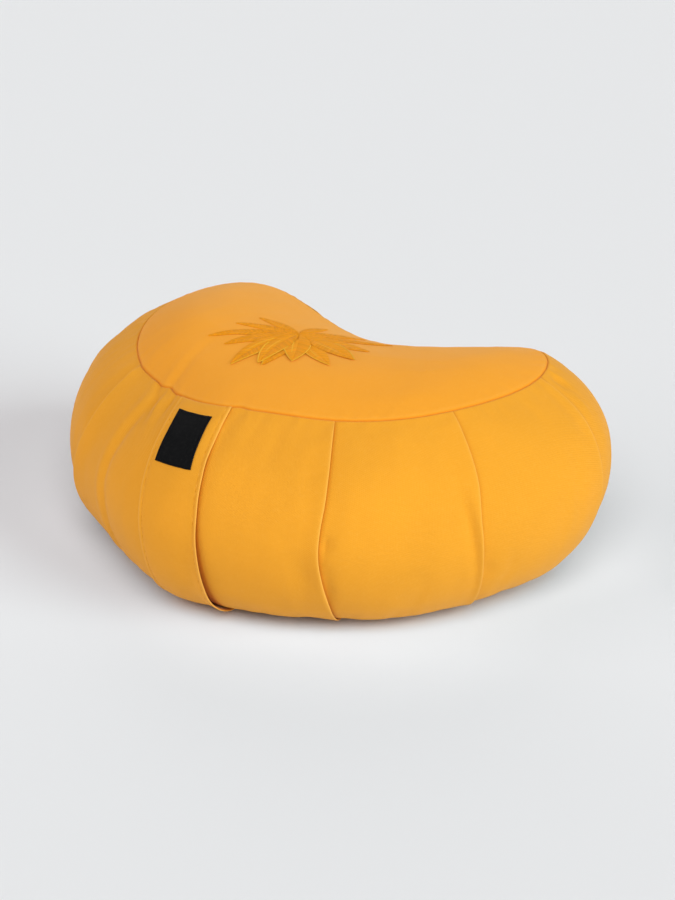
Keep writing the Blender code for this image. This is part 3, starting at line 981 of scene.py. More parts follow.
def stitch_tree():
    """Stitches laid along a line on a cloth: short plump stitches, each turned to the cloth."""
    tree, names, given = line_tree("Row of stitches", (
        ("Pitch", "NodeSocketFloat", 0.0034), ("Length", "NodeSocketFloat", 0.0027),
    ))
    evenly = even_points(tree, given, "LENGTH", {"Length": given["Pitch"]})
    cloth = new_node(tree, "GeometryNodeObjectInfo", (1, 2), {"Object": given["Cloth"]}).outputs["Geometry"]
    normal = new_node(tree, "GeometryNodeInputNormal", (2, 3)).outputs[0]
    position = new_node(tree, "GeometryNodeInputPosition", (2, 4)).outputs[0]
    inputs = {"Mesh": cloth, "Value": normal, "Sample Position": position}
    facing = new_node(
        tree, "GeometryNodeSampleNearestSurface", (3, 2), inputs, data_type="FLOAT_VECTOR"
    ).outputs["Value"]
    offset = stray(tree, given, (2, 6), (-1.0, -1.0, -1.0), (1.0, 1.0, 1.0))
    inputs = {"Geometry": evenly, "Offset": offset}
    moved = new_node(tree, "GeometryNodeSetPosition", (4, 0), inputs).outputs[0]
    tangent = new_node(tree, "GeometryNodeInputTangent", (3, 4)).outputs[0]
    turn = "FunctionNodeAlignRotationToVector"
    along = new_node(tree, turn, (4, 4), {"Vector": tangent}, axis="X").outputs[0]
    inputs = {"Rotation": along, "Vector": facing}
    upright = new_node(tree, turn, (5, 4), inputs, axis="Z", pivot_axis="X").outputs[0]
    inputs = {"Segments": 8, "Rings": 6, "Radius": 0.5}
    stitch = new_node(tree, "GeometryNodeMeshUVSphere", (3, 8), inputs).outputs[0]
    inputs = {"X": given["Length"], "Y": given["Width"], "Z": given["Width"]}
    scale = new_node(tree, "ShaderNodeCombineXYZ", (3, 9), inputs).outputs[0]
    shaped = new_node(tree, "GeometryNodeTransform", (4, 8), {"Geometry": stitch, "Scale": scale}).outputs[0]
    inputs = {"Points": moved, "Instance": shaped, "Rotation": upright}
    rows = new_node(tree, "GeometryNodeInstanceOnPoints", (6, 0), inputs).outputs[0]
    finish_tree(tree, given, toned(tree, given, (7, 0), rows, "INSTANCE"), 8)
    return tree, names


def satin_tree():
    """Embroidery threads: each flat line is dropped on the cloth, arched and given its thickness."""
    tree, names, given = line_tree("Satin stitches", (
        ("Loft", "NodeSocketFloat", 0.0004), ("Points", "NodeSocketInt", 6),
    ))
    evenly = even_points(tree, given, "COUNT", {"Count": given["Points"]})
    position = new_node(tree, "GeometryNodeInputPosition", (1, 3)).outputs[0]
    wander = stray(tree, given, (1, 5), (-1.0, -1.0, 0.0), (1.0, 1.0, 0.0))
    spot = vector_maths(tree, (3, 4), "ADD", position, wander)
    cloth = new_node(tree, "GeometryNodeObjectInfo", (2, 2), {"Object": given["Cloth"]}).outputs["Geometry"]
    drop = new_node(tree, "GeometryNodeRaycast", (4, 2), {
        "Target Geometry": cloth, "Source Position": spot,
        "Ray Direction": (0.0, 0.0, -1.0), "Ray Length": 1.0,
    }).outputs
    share = new_node(tree, "GeometryNodeSplineParameter", (3, 7)).outputs["Factor"]
    rest = calculate(tree, (4, 7), "SUBTRACT", 1.0, share)
    product = calculate(tree, (5, 7), "MULTIPLY", share, rest)
    arch = calculate(tree, (6, 7), "POWER", calculate(tree, (6, 8), "MULTIPLY", product, 4.0), 0.6)
    inputs = {"Name": "level"}
    level = new_node(tree, "GeometryNodeInputNamedAttribute", (5, 9), inputs, data_type="FLOAT").outputs[0]
    base = calculate(tree, (6, 9), "MULTIPLY_ADD", given["Width"], 0.25, level)
    rise = calculate(tree, (7, 7), "MULTIPLY_ADD", arch, given["Loft"], base)
    lifted = vector_maths(tree, (8, 4), "SCALE", drop["Hit Normal"], rise)
    landed = vector_maths(tree, (9, 3), "ADD", drop["Hit Position"], lifted)
    inputs = {"Geometry": evenly, "Position": landed}
    laid = new_node(tree, "GeometryNodeSetPosition", (10, 0), inputs).outputs[0]
    threads = toned(tree, given, (11, 0), laid, "CURVE")
    inputs = {"Resolution": 6, "Radius": calculate(tree, (10, 5), "MULTIPLY", given["Width"], 0.5)}
    circle = new_node(tree, "GeometryNodeCurvePrimitiveCircle", (11, 4), inputs).outputs["Curve"]
    inputs = {"Geometry": circle, "Scale": (1.0, 0.5, 1.0)}
    flat = new_node(tree, "GeometryNodeTransform", (12, 4), inputs).outputs[0]
    upright = new_node(tree, "GeometryNodeSetCurveNormal", (12, 2), {0: threads}, mode="Z_UP").outputs[0]
    inputs = {"Curve": upright, "Profile Curve": flat, "Fill Caps": True}
    thread = new_node(tree, "GeometryNodeCurveToMesh", (13, 0), inputs).outputs[0]
    finish_tree(tree, given, thread, 14)
    return tree, names


def grow(name, lines, levels, tree_and_names, values, material):
    """Runs a Geometry Nodes tree over flat lines and keeps its result as a finished piece."""
    edges = []
    start = 0
    for line in lines:
        edges += [(start + step, start + step + 1) for step in range(len(line) - 1)]
        start += len(line)
    guide = bpy.data.meshes.new(name + "_lines")
    guide.from_pydata(np.concatenate(lines).tolist(), edges, [])
    attribute = guide.attributes.new("level", "FLOAT", "POINT")
    attribute.data.foreach_set("value", np.asarray(levels, np.float32))
    piece = add_object(name, guide)
    tree, names = tree_and_names
    modifier = piece.modifiers.new("Threads", "NODES")
    modifier.node_group = tree
    for key, value in values.items():
        modifier[names[key]] = value
    modifier[names["Thread"]] = material
    mesh = bpy.data.meshes.new_from_object(evaluated(piece))
    if not len(mesh.polygons):
        raise RuntimeError(name + " came out empty")
    piece.modifiers.clear()
    piece.data = mesh
    mesh.name = name
    mesh.materials.clear()
    mesh.materials.append(material)
    bpy.data.meshes.remove(guide)
    dress(piece, None)


def strap_place(offset, depth):
    """The share of the seam that lies an offset to the right of the strap's middle line."""
    edge = STRAP_RIGHT_EDGE + STRAP_LEAN * depth
    flare = 1.0 + STRAP_FLARE * np.exp(-((depth / STRAP_FLARE_DEPTH) ** 2))
    offset = np.where(np.asarray(offset) < 0.0, np.asarray(offset) * flare, offset)
    stretch = smooth_side(edge + PROBE, depth) - smooth_side(edge - PROBE, depth)
    per_metre = 2.0 * PROBE / np.linalg.norm(stretch)
    return edge + (offset - STRAP_WIDTH / 2.0) * per_metre


def strap_lift(offsets, depth, sizes):
    """The strap lies on the side at its ends and hangs slack between, most along its right edge."""
    sag = np.sin(np.pi * np.clip((depth - SLACK_START) / (1.0 - SLACK_START), 0.0, 1.0)) ** 2
    across = np.clip(offsets / STRAP_WIDTH + 0.5, 0.0, 1.0)
    loose = STRAP_SLACK * sag * (0.12 + 0.50 * across**2) * smooth_step((1.0 - depth) / 0.3)
    curl = STRAP_CURL * across**8 * smooth_step((depth - 0.10) / 0.2)
    lifted = STRAP_LIFT * across**6 * smooth_step((depth - 0.58) / 0.2)
    at_seam = seam_dip(min(depth, 1.0 - depth) * SIDE_LENGTH, sizes)
    return GAP + loose + (curl + lifted) * smooth_step((1.0 - depth) / 0.32) + at_seam


def strap_shade(places, depth):
    """How far the side gets painted shade from the strap, from under it to just past its right edge."""
    right = apart(places, strap_place(STRAP_WIDTH / 2.0, depth)) * SIDE_GIRTH
    left = apart(places, strap_place(-STRAP_WIDTH / 2.0, depth)) * SIDE_GIRTH
    return smooth_step((0.0011 - right) / 0.0022) * smooth_step(left / 0.003) * (depth < STRAP_FOOT)


def strap_points(across, depth, rise, sizes):
    """Points a rise above the strap's back, at offsets across it."""
    across, rise = np.broadcast_arrays(np.asarray(across, float), rise)
    waver = 0.00012 * np.sin(depth * 19.0 + 1.3) + 0.00008 * np.sin(depth * 47.0)
    thin = 0.55 + 0.45 * smooth_step(depth / 0.03)
    lift = strap_lift(across, depth, sizes) + rise * thin
    places = strap_place(across + waver, depth)
    lift = lift + 0.00015 * np.sin(across * 330.0 + depth * 21.0) + foot_swell(places, depth)
    return pushed(lifted_side(places, depth, lift))


def full_section(section):
    """Both halves of a cross-section, once round from the left edge of the face."""
    right = [(point.across * MM, point.rise * MM) for point in section]
    return np.array([(-across, rise) for across, rise in right[:0:-1]] + right)


def strip_mesh(name, section, depths, base, edge_from, shift, sizes):
    """A closed strip of cloth along the strap's line."""
    outline = full_section(section)
    rings = [strap_points(outline[:, 0] + shift, depth, outline[:, 1] + base, sizes) for depth in depths]
    lengths = run_lengths([ring[len(ring) // 2] for ring in rings])
    uvs = [np.column_stack([outline[:, 0], np.full(len(outline), -length)]) for length in lengths]
    rubbed = smooth_step((np.abs(outline[:, 0]) - edge_from) / 0.0008)
    # Painted shade on the low points of the section, under the strip's edges.
    underside_shade = 1.0 - smooth_step((outline[:, 1] - 0.0002) / 0.0005)
    masks = {"rubbed": np.tile(rubbed, (len(rings), 1)), "creased": np.tile(underside_shade, (len(rings), 1))}
    return ring_mesh(name, rings, uvs, masks)


def label_foot():
    """The depth at which the label's length has been used up, down the strap's middle line."""
    depths = np.linspace(LABEL_TOP, 1.0, SEAM_STEPS)
    line = np.array([smooth_side(strap_place(0.0, depth), depth) for depth in depths])
    return np.interp(LABEL_LENGTH, run_lengths(line), depths)


def petal_frame(petal):
    """A petal's rib in plan, and the direction across it at each point."""
    shares = np.linspace(0.0, 1.0, PETAL_STEPS)
    turn = np.radians(LOTUS_TURN - petal.angle)
    ahead = np.array([np.cos(turn), np.sin(turn)])
    aside = np.array([ahead[1], -ahead[0]])
    reach = (petal.start + (petal.length - petal.start) * shares) * MM
    bend = petal.curl * MM * shares**2
    rib = np.array(LOTUS_PLACE) + reach[:, None] * ahead + bend[:, None] * aside
    along = np.gradient(rib, axis=0)
    along = along / np.linalg.norm(along, axis=1, keepdims=True)
    across = np.column_stack([along[:, 1], -along[:, 0]])
    breadth = petal.width / 2.0 * MM * np.sin(np.pi * shares**0.9) ** 0.85
    return rib, across, np.maximum(breadth, 0.0)


def petal_outline(petal):
    rib, across, breadth = petal_frame(petal)
    return np.concatenate([rib + across * breadth[:, None], (rib - across * breadth[:, None])[::-1]])


def inside(points, outline):
    """Which points lie inside a closed outline, by counting crossings."""
    ends = np.roll(outline, -1, axis=0)
    result = np.zeros(len(points), bool)
    for (ax, ay), (bx, by) in zip(outline, ends):
        spans = (ay > points[:, 1]) != (by > points[:, 1])
        if ay == by:
            continue
        crossing = ax + (points[:, 1] - ay) / (by - ay) * (bx - ax)
        result ^= spans & (points[:, 0] < crossing)
    return result


def uncovered(line, outlines):
    """Which points of a line none of the petals over it hides."""
    seen = np.ones(len(line), bool)
    for outline in outlines:
        seen &= ~inside(line, outline)
    return seen


def raised(lines):
    """Flat lines at the height from which they are dropped on the crown."""
    return [np.column_stack([line, np.full(len(line), DROP_HEIGHT)]) for line in lines]


def lotus_lines(sizes):
    """The satin stitches of every petal and the edging round them, as flat lines."""
    fills = []
    fill_levels = []
    rims = []
    rim_levels = []
    outlines = [petal_outline(petal) for petal in PETALS]
    for number, petal in enumerate(PETALS):
        rib, across, breadth = petal_frame(petal)
        lengths = run_lengths(rib)
        above = outlines[number + 1:]
        level = petal.level * LEVEL_RISE
        for side in (-1.0, 1.0):
            edge = rib + side * across * breadth[:, None]
            for stop in np.arange(0.4 * MM, lengths[-1], sizes.satin_pitch):
                foot = np.array([np.interp(stop, lengths, rib[:, axis]) for axis in (0, 1)])
                ahead = min(stop + 0.55 * np.interp(stop, lengths, breadth), lengths[-1])
                tip = np.array([np.interp(ahead, lengths, edge[:, axis]) for axis in (0, 1)])
                line = np.linspace(foot, tip, 9)
                shown = line[uncovered(line, above)]
                if len(shown) < 3 or np.linalg.norm(shown[-1] - shown[0]) < LEAST_STITCH:
                    continue
                fills.append(shown[[0, -1]])
                fill_levels += [level] * 2
        # Light rims on some edges: a painted highlight for the satin's sheen.
        edges = [(side, int(PETAL_STEPS * 0.45), PETAL_STEPS) for side in RIM_SIDES[petal.level]]
        edges += [(VEIN_SIDE, int(PETAL_STEPS * 0.30), int(PETAL_STEPS * 0.78))] * (petal.level > 1)
        for side, start, end in edges:
            edge = (rib + side * across * breadth[:, None])[start:end]
            kept = edge[uncovered(edge, above)]
            if len(kept) > 5:
                rims.append(kept)
                rim_levels += [level + LEVEL_RISE] * len(kept)
    return raised(fills), fill_levels, raised(rims), rim_levels


def filled_form():
    """The plain closed form before it is filled, remeshed evenly for the simulation."""
    places = all_round(240)
    rings = [base_ring(places, share, 0.0, 0.0) for share in (INNER_RING, 0.5, 1.0 - FOOT_CURL, 0.94)]
    rings += [smooth_side(places, depth) for depth in np.linspace(1.0, 0.0, 40)]
    rings += [crown_ring(places, share, 0.0, 0.0) for share in np.linspace(0.94, INNER_RING, 12)]
    mesh = ring_mesh("filled_form", rings, np.zeros((len(rings), len(places), 2)), {})
    piece = add_object("filled_form", mesh)
    remesh = piece.modifiers.new("Even mesh", "REMESH")
    remesh.mode = "VOXEL"
    remesh.voxel_size = FILLING_VOXEL
    even = bpy.data.meshes.new_from_object(evaluated(piece))
    piece.modifiers.clear()
    piece.data = even
    bpy.data.meshes.remove(mesh)
    return piece


def mesh_points(mesh):
    points = np.zeros(len(mesh.vertices) * 3, np.float32)
    mesh.vertices.foreach_get("co", points)
    return points.reshape(-1, 3).astype(float)


def point_tree(points):
    tree = KDTree(len(points))
    for index, point in enumerate(points):
        tree.insert(point, index)
    tree.balance()
    return tree


def sewn_weights(points):
    """How firmly each point is held: fully at the seams and the floor, partly along the pleats."""
    held = [smooth_side(place, depth) for place in all_round(SEAM_STEPS) for depth in (0.0, 1.0)]
    seam_points = len(held)
    for depth in np.linspace(0.02, 0.98, 60):
        held += [smooth_side(path_place(pleat.path, depth), depth) for pleat in PLEATS]
    lines = point_tree(held)
    weights = []
    for point in points:
        _, number, distance = lines.find(point)
        strength = 1.0 if number < seam_points else PLEAT_HOLD
        weight = strength * float(np.clip(1.6 - distance / HOLD_REACH, 0.0, 1.0))
        weights.append(1.0 if point[2] < FLOOR_HOLD else weight)
    return np.array(weights)


class CUSHION_OT_filling(Operator):
    """Fill the cover by a cloth simulation, and keep how far the filling pushes the cloth"""

    bl_idname = "cushion.filling"
    bl_label = "Filling"

    def execute(self, context):
        scene = context.scene
        FILLING.clear()
        piece = filled_form()
        before = mesh_points(piece.data)
        held = piece.vertex_groups.new(name="sewn")
        for index, weight in enumerate(sewn_weights(before)):
            held.add([index], float(weight), "REPLACE")
        cloth = piece.modifiers.new("Filling", "CLOTH")
        settings = {
            "quality": 5, "mass": 0.4, "tension_stiffness": 12.0, "compression_stiffness": 12.0,
            "shear_stiffness": 4.0, "bending_stiffness": 0.4, "use_pressure": True,
            "uniform_pressure_force": scene.cushion_sizes.filling_pressure,
            "shrink_min": -scene.cushion_sizes.cloth_ease, "vertex_group_mass": "sewn",
        }
        for key, value in settings.items():
            setattr(cloth.settings, key, value)
        cloth.settings.effector_weights.gravity = 0.0
        cloth.collision_settings.use_collision = False
        for step in range(1, FILLING_FRAMES + 1):
            scene.frame_set(step)
        after = mesh_points(piece.evaluated_get(bpy.context.evaluated_depsgraph_get()).data)
        scene.frame_set(1)
        push = after - before
        if not np.isfinite(push).all():
            raise RuntimeError("the filling simulation failed")
        tree = point_tree(before)
        push = push - broad_push(before, push, tree)
        lengths = np.linalg.norm(push, axis=1, keepdims=True)
        push = push * np.minimum(1.0, FILLING_CAP / np.maximum(lengths, 1e-9)) * SIDE_PUSH
        outline = seam(all_round(180))[0]
        crown = inside(before[:, :2], outline) & (before[:, 2] > CROWN_LEAST)
        push[crown] *= (0.0, 0.0, CROWN_PUSH / SIDE_PUSH)
        FILLING.update(tree=tree, push=push)
        mesh = piece.data
        bpy.data.objects.remove(piece)
        bpy.data.meshes.remove(mesh)
        return {"FINISHED"}


def broad_push(points, push, tree):
    """The slow part of the push, which the fitted outline already holds."""
    spots = points[::FILLING_SKIP]
    coarse = np.zeros_like(spots)
    for index, point in enumerate(spots):
        near = tree.find_range(point, FILLING_REACH)
        coarse[index] = push[[number for _, number, _ in near]].mean(axis=0)
    lookup = point_tree(spots)
    return np.array([near_mean(lookup, coarse, point, 5, 0.002, 1) for point in points])


class CUSHION_OT_side_cover(Operator):
    """Make the filled body in its pleated side cover"""

    bl_idname = "cushion.side_cover"
    bl_label = "Side cover"

    def execute(self, context):
        sizes = context.scene.cushion_sizes
        places, rows, owners = cover_columns()
        depths = cover_depths()
        rings = []
        uvs = []
        rubbed = []
        creased = []
        past = rows - FOLD_EDGE
        # Paler folded edges: part wear, part painted highlight along the roll of each fold.
        edge = np.where(rows < 0, 0.0, np.exp(-((past / 2.2) ** 2)))
        # Painted shade in the rows just past each folded edge, as CREASE_SHADES gives.
        under = np.array([CREASE_SHADES.get(row, 1.0 if 2 < row < 12 else 0.0) for row in past])
        under = np.where(rows < 0, 0.0, under)
        strand = places + pleat_faces(owners) * fold_values("along", rows) * MM / SEAM_LENGTH

        def add_ring(points, level, worn_and_lit, shade_mask):
            rings.append(pushed(points))
            uvs.append(np.column_stack([strand * SIDE_GIRTH, np.full(len(strand), -level)]))
            rubbed.append(worn_and_lit)
            creased.append(shade_mask)

        nothing = np.zeros(len(places))
        feet, _ = cover_ring(places, rows, owners, 1.0, sizes)
        for share in (1.0 - FOOT_CURL, 1.0 - FOOT_CURL / 2.0, 1.0):
            add_ring(base_ring(feet, share, 0.0, SHEET + GAP), SIDE_LENGTH, nothing, nothing)
        for depth in depths[::-1]:
            spots, lift = cover_ring(places, rows, owners, depth, sizes)
            # Painted shade along the top and foot seams, which also fades the paler folded edges there.
            sewn = np.exp(-((min(depth, 1.0 - depth) * SIDE_LENGTH / SEAM_SHADE) ** 2))
            shade = np.maximum(np.maximum(under, sewn), strap_shade(spots, depth))
            add_ring(lifted_side(spots, depth, lift), depth * SIDE_LENGTH, edge * (1.0 - sewn), shade)
        tops, _ = cover_ring(places, rows, owners, 0.0, sizes)
        for share in np.linspace(1.0, INNER_RING, 7):
            add_ring(crown_ring(tops, share, 0.0, SHEET + GAP), 0.0, nothing, nothing)
        masks = {"rubbed": rubbed, "creased": creased}
        mesh = ring_mesh("side_cover", rings, uvs, masks, (SIDE_GIRTH, 0.0))
        material = cotton_material("Marigold twill, side", context.scene.cushion_colours, 0.5, 0.07)
        piece = show("side_cover", mesh, material)
        dress(piece, "pleated_body")
        return {"FINISHED"}


def panel_shares():
    outer = 1.0 - np.array([0.075, 0.055, 0.040, 0.029, 0.020, 0.013, 0.008, 0.004, 0.0])
    return np.concatenate([np.linspace(INNER_RING, 0.90, 34), outer])


def crown_top(places, share, sizes):
    """A ring of the crown's face, with its puckers and the groove at its seam."""
    ring = crown_ring(places, share, GAP, 0.0)
    edge = crown_ring(places, 1.0, GAP, 0.0)
    from_seam = np.linalg.norm(edge - ring, axis=1)
    near = (1.0 - smooth_step(from_seam / 0.016)) * smooth_step(from_seam / 0.003)
    pucker = ripples(places, np.array(share), 64, 0.6, sizes.seed + 2) * near
    soft = ripples(places, np.array(share), 3, 1.2, sizes.seed + 3) * smooth_step(from_seam / 0.05)
    ring[:, 2] += 0.8 * sizes.pucker_height * pucker + sizes.ripple_height * 0.8 * soft
    ring[:, 2] += seam_dip(from_seam, sizes)
    return ring, from_seam


class CUSHION_OT_crown_panel(Operator):
    """Make the crescent panel that closes the top"""

    bl_idname = "cushion.crown_panel"
    bl_label = "Crown panel"

    def execute(self, context):
        sizes = context.scene.cushion_sizes
        places = all_round(PANEL_STEPS)
        upper = []
        lengths = []
        for share in panel_shares():
            ring, from_seam = crown_top(places, share, sizes)
            upper.append(ring)
            lengths.append(from_seam)
        lower = [crown_ring(places, share, GAP, SHEET) for share in (1.0, 0.97, 0.9, 0.6, INNER_RING)]
        rings = np.array([pushed(ring) for ring in upper + lower])
        # Painted highlight on a narrow rim beside the crown's seam, where the panel rolls into the groove.
        worn_and_lit = [np.exp(-(((length - 0.0025) / 0.0012) ** 2)) * 0.15 for length in lengths]
        worn_and_lit += [np.zeros(len(places))] * len(lower)
        # Painted shade along the seam's groove, and over the hidden underside.
        sewn = [np.exp(-((length / SEAM_SHADE) ** 2)) for length in lengths]
        sewn += [np.ones(len(places))] * len(lower)
        mesh = ring_mesh("crown_panel", rings, rings[..., :2], {"rubbed": worn_and_lit, "creased": sewn})
        colours = context.scene.cushion_colours
        # The crown's twill is 4% lighter and 8% redder than the side's: painted light on the top.
        material = cotton_material("Marigold twill, crown", colours, -0.8, 0.09, 1.04, 1.08)
        piece = show("crown_panel", mesh, material)
        dress(piece, "top_panel")
        width, length, area = cut_size(crown_ring(places, 1.0, 0.0, 0.0))
        return {"FINISHED"}


def cut_size(outline):
    """Width, length and area of a panel's cut from its seam line in plan."""
    plan = outline[:, :2]
    width, length = plan.max(axis=0) - plan.min(axis=0)
    after = np.roll(plan, -1, axis=0)
    area = abs(np.sum(plan[:, 0] * after[:, 1] - after[:, 0] * plan[:, 1])) / 2.0
    return float(width), float(length), float(area)


class CUSHION_OT_base_panel(Operator):
    """Make the crescent panel that closes the underside"""

    bl_idname = "cushion.base_panel"
    bl_label = "Base panel"

    def execute(self, context):
        places = all_round(PANEL_STEPS)
        shares = np.concatenate([np.linspace(INNER_RING, 0.86, 12), np.linspace(0.88, 1.0, 10)])
        lower = []
        for share in shares:
            ring = base_ring(places, share, GAP, 0.0)
            near = smooth_step((share - 0.86) / 0.1)
            ring[:, 2] += 0.0004 * near * (1.0 + ripples(places, np.array(share), 40, 0.5, 5)) / 2.0
            ring[:, 2] = np.maximum(ring[:, 2], 0.0)
            lower.append(ring)
        upper = [base_ring(places, share, GAP, SHEET) for share in shares[::-1]]
        rings = np.array(lower + upper)
        nothing = np.zeros(rings.shape[:2])
        mesh = ring_mesh("base_panel", rings, rings[..., :2], {"rubbed": nothing, "creased": nothing})
        material = cotton_material("Marigold twill, base", context.scene.cushion_colours, 0.8, 0.08)
        piece = show("base_panel", mesh, material)
        dress(piece, "bottom_panel")
        width, length, area = cut_size(base_ring(places, 1.0, 0.0, 0.0))
        return {"FINISHED"}


class CUSHION_OT_strap(Operator):
    """Make the carrying strap with its hemmed edges"""

    bl_idname = "cushion.strap"
    bl_label = "Carrying strap"

    def execute(self, context):
        sizes = context.scene.cushion_sizes
        depths = np.concatenate([np.linspace(STRAP_TOP, 0.06, 12), np.linspace(0.068, STRAP_FOOT, 120)])
        mesh = strip_mesh("carrying_strap", STRAP_SECTION, depths, 0.0, STRAP_WORN_FROM, 0.0, sizes)
        material = cotton_material("Marigold twill, strap", context.scene.cushion_colours, 0.5, 0.05)
        piece = show("carrying_strap", mesh, material)
        dress(piece, "handle_strap")
        middle = np.array([strap_points([0.0], depth, 0.0, sizes)[0] for depth in depths])
        return {"FINISHED"}


class CUSHION_OT_label(Operator):
    """Make the bare woven label on the strap"""

    bl_idname = "cushion.label"
    bl_label = "Bare label"

    def execute(self, context):
        sizes = context.scene.cushion_sizes
        depths = np.linspace(LABEL_TOP, label_foot(), 40)
        mesh = strip_mesh(
            "bare_label", LABEL_SECTION, depths, LABEL_SEAT, LABEL_WORN_FROM, LABEL_SHIFT, sizes
        )
        piece = show("bare_label", mesh, label_material(context.scene.cushion_colours))
        dress(piece, "label")
        return {"FINISHED"}


class CUSHION_OT_stitches(Operator):
    """Sew the rows of stitches on the strap and round the label"""

    bl_idname = "cushion.stitches"
    bl_label = "Stitches"

    def execute(self, context):
        sizes = context.scene.cushion_sizes
        colours = context.scene.cushion_colours
        cotton = tuple(colours.cotton)
        black = tuple(colours.label)
        tree = stitch_tree()

        def row(offset, depths, rise):
            return np.array([strap_points([offset], depth, rise, sizes)[0] for depth in depths])

        depths = np.linspace(0.012, STRAP_FOOT - 0.01, 160)
        rows = [row(side * STRAP_STITCH_ACROSS, depths, STRAP_FACE + 0.00006) for side in (-1.0, 1.0)]
        thread = thread_material("Marigold sewing thread", cotton, tuple(colours.cotton_pale), 0.6)
        values = {
            "Cloth": bpy.data.objects["carrying_strap"], "Pitch": sizes.stitch_pitch,
            "Length": sizes.stitch_length, "Width": sizes.stitch_width, "Wander": THREAD_WANDER,
            "Seed": sizes.seed,
        }
        levels = np.zeros(sum(len(row) for row in rows))
        grow("strap_stitches", rows, levels, tree, values, thread)
        inset = LABEL_STITCH_INSET / SIDE_LENGTH
        depths = np.linspace(LABEL_TOP + inset, label_foot() - inset, 30)
        rise = LABEL_SEAT + LABEL_FACE
        offsets = LABEL_SHIFT + np.linspace(-LABEL_STITCH_ACROSS, LABEL_STITCH_ACROSS, 24)
        rows = [row(offset, depths, rise) for offset in (offsets[0], offsets[-1])]
        rows += [strap_points(offsets, depth, rise - 0.0002, sizes) for depth in (depths[0], depths[-1])]
        dark = thread_material("Black sewing thread", shaded(black, 1.6), shaded(black, 3.0), 0.55)
        values = {**values, **LABEL_STITCH, "Cloth": bpy.data.objects["bare_label"]}
        levels = np.zeros(sum(len(row) for row in rows))
        grow("label_stitches", rows, levels, tree, values, dark)
        return {"FINISHED"}


class CUSHION_OT_lotus(Operator):
    """Embroider the lotus on the crown"""

    bl_idname = "cushion.lotus"
    bl_label = "Lotus embroidery"

    def execute(self, context):
        sizes = context.scene.cushion_sizes
        colours = context.scene.cushion_colours
        tree = satin_tree()
        fills, fill_levels, rims, rim_levels = lotus_lines(sizes)
        satin = tuple(colours.satin)
        light = tuple(colours.satin_light)
        fill_thread = thread_material("Golden satin thread", satin, shaded(satin, 1.10), 0.6)
        # The rim thread's lighter colour is a painted highlight for the satin's sheen.
        rim_thread = thread_material("Light satin thread", light, light, 0.5)
        values = {
            "Cloth": bpy.data.objects["crown_panel"], "Width": sizes.satin_width,
            "Loft": sizes.satin_loft, "Wander": THREAD_WANDER, "Points": 5, "Seed": sizes.seed,
        }
        grow("lotus_satin", fills, fill_levels, tree, values, fill_thread)
        values = {**values, **RIM_THREAD}
        grow("lotus_rims", rims, rim_levels, tree, values, rim_thread)
        return {"FINISHED"}


def point_at(item, place, target):
    item.location = place
    direction = Vector(target) - Vector(place)
    item.rotation_euler = direction.to_track_quat("-Z", "Y").to_euler()
    bpy.context.scene.collection.objects.link(item)


def soft_light(light, width, share):
    """A wide, soft light from one side of the studio."""
    lamp = bpy.data.lights.new(light.name, "SUN")
    lamp.energy = light.strength * share
    lamp.angle = width
    lamp.color = (light.red, 1.0, 1.0)
    turn = np.radians(light.azimuth)
    tilt = np.radians(light.elevation)
    place = (np.cos(turn) * np.cos(tilt), np.sin(turn) * np.cos(tilt), np.sin(tilt))
    point_at(bpy.data.objects.new(light.name, lamp), tuple(3.0 * value for value in place), (0.0, 0.0, 0.0))


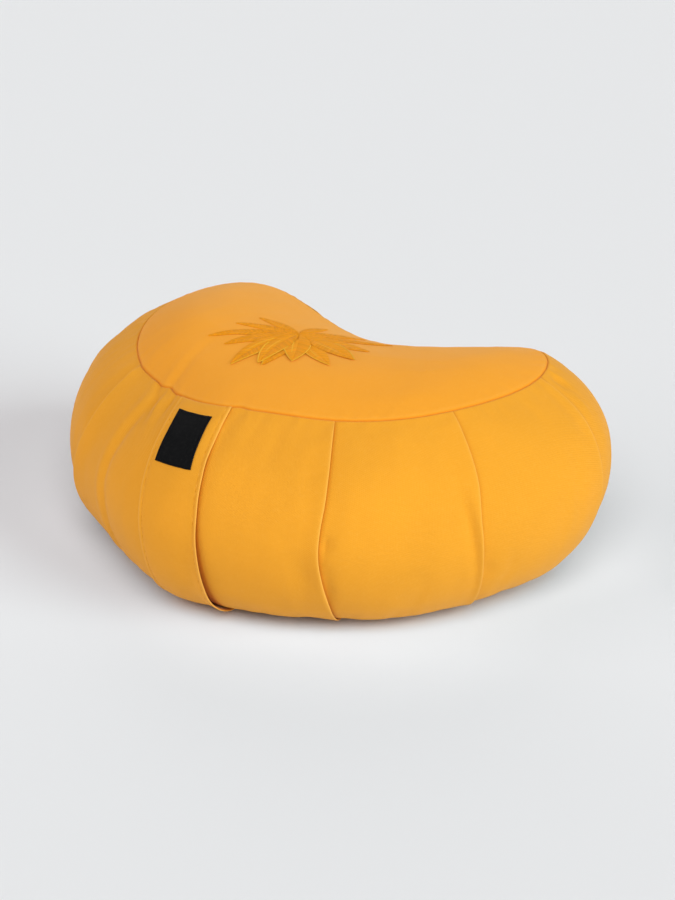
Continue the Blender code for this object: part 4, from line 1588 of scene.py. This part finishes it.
class CUSHION_OT_stage(Operator):
    """Set the camera, the soft studio light and the pale floor"""

    bl_idname = "cushion.stage"
    bl_label = "Stage"

    def execute(self, context):
        scene = context.scene
        light = scene.cushion_light
        turn = np.radians(VIEW_AZIMUTH)
        tilt = np.radians(VIEW_ELEVATION)
        back = np.array([np.sin(turn) * np.cos(tilt), -np.cos(turn) * np.cos(tilt), np.sin(tilt)])
        lens = bpy.data.cameras.new("Camera")
        lens.lens = VIEW_LENS
        lens.sensor_width = 36.0
        lens.clip_end = 60.0
        camera = bpy.data.objects.new("Camera", lens)
        point_at(camera, tuple(np.array(VIEW_TARGET) + VIEW_DISTANCE * back), VIEW_TARGET)
        scene.camera = camera
        mesh = bpy.data.meshes.new("floor")
        work = bmesh.new()
        bmesh.ops.create_circle(work, cap_ends=True, segments=96, radius=FLOOR_RADIUS)
        work.to_mesh(mesh)
        work.free()
        show("floor", mesh, floor_material(scene.cushion_colours))
        world = bpy.data.worlds.new("Studio")
        world.use_nodes = True
        sky = world.node_tree.nodes["Background"]
        sky.inputs["Color"].default_value = SKY_COLOUR
        sky.inputs["Strength"].default_value = light.sky
        scene.world = world
        for soft in SOFT_LIGHTS:
            soft_light(soft, light.softness, light.strength)
        scene.view_settings.view_transform = "Standard"
        return {"FINISHED"}


class CUSHION_PT_panel(Panel):
    """The steps that make the cushion, in the 3D view's sidebar"""

    bl_idname = "CUSHION_PT_panel"
    bl_label = "Meditation cushion"
    bl_space_type = "VIEW_3D"
    bl_region_type = "UI"
    bl_category = "Cushion"

    def draw(self, context):
        for step in STEPS:
            self.layout.operator(step.bl_idname)
        scene = context.scene
        for group in (scene.cushion_sizes, scene.cushion_colours, scene.cushion_light):
            box = self.layout.box()
            for key in group.__annotations__:
                box.prop(group, key)


STEPS = (
    CUSHION_OT_stage,
    CUSHION_OT_filling,
    CUSHION_OT_side_cover,
    CUSHION_OT_crown_panel,
    CUSHION_OT_base_panel,
    CUSHION_OT_strap,
    CUSHION_OT_label,
    CUSHION_OT_stitches,
    CUSHION_OT_lotus,
)
CLASSES = (CushionSizes, CushionColours, CushionLight, *STEPS, CUSHION_PT_panel)


def register():
    for item in CLASSES:
        bpy.utils.register_class(item)
    bpy.types.Scene.cushion_sizes = PointerProperty(type=CushionSizes)
    bpy.types.Scene.cushion_colours = PointerProperty(type=CushionColours)
    bpy.types.Scene.cushion_light = PointerProperty(type=CushionLight)


def unregister():
    del bpy.types.Scene.cushion_light
    del bpy.types.Scene.cushion_colours
    del bpy.types.Scene.cushion_sizes
    for item in reversed(CLASSES):
        bpy.utils.unregister_class(item)


def main():
    register()
    bpy.ops.cushion.stage()
    bpy.ops.cushion.filling()
    bpy.ops.cushion.side_cover()
    bpy.ops.cushion.crown_panel()
    bpy.ops.cushion.base_panel()
    bpy.ops.cushion.strap()
    bpy.ops.cushion.label()
    bpy.ops.cushion.stitches()
    bpy.ops.cushion.lotus()


if __name__ == "__main__":
    main()
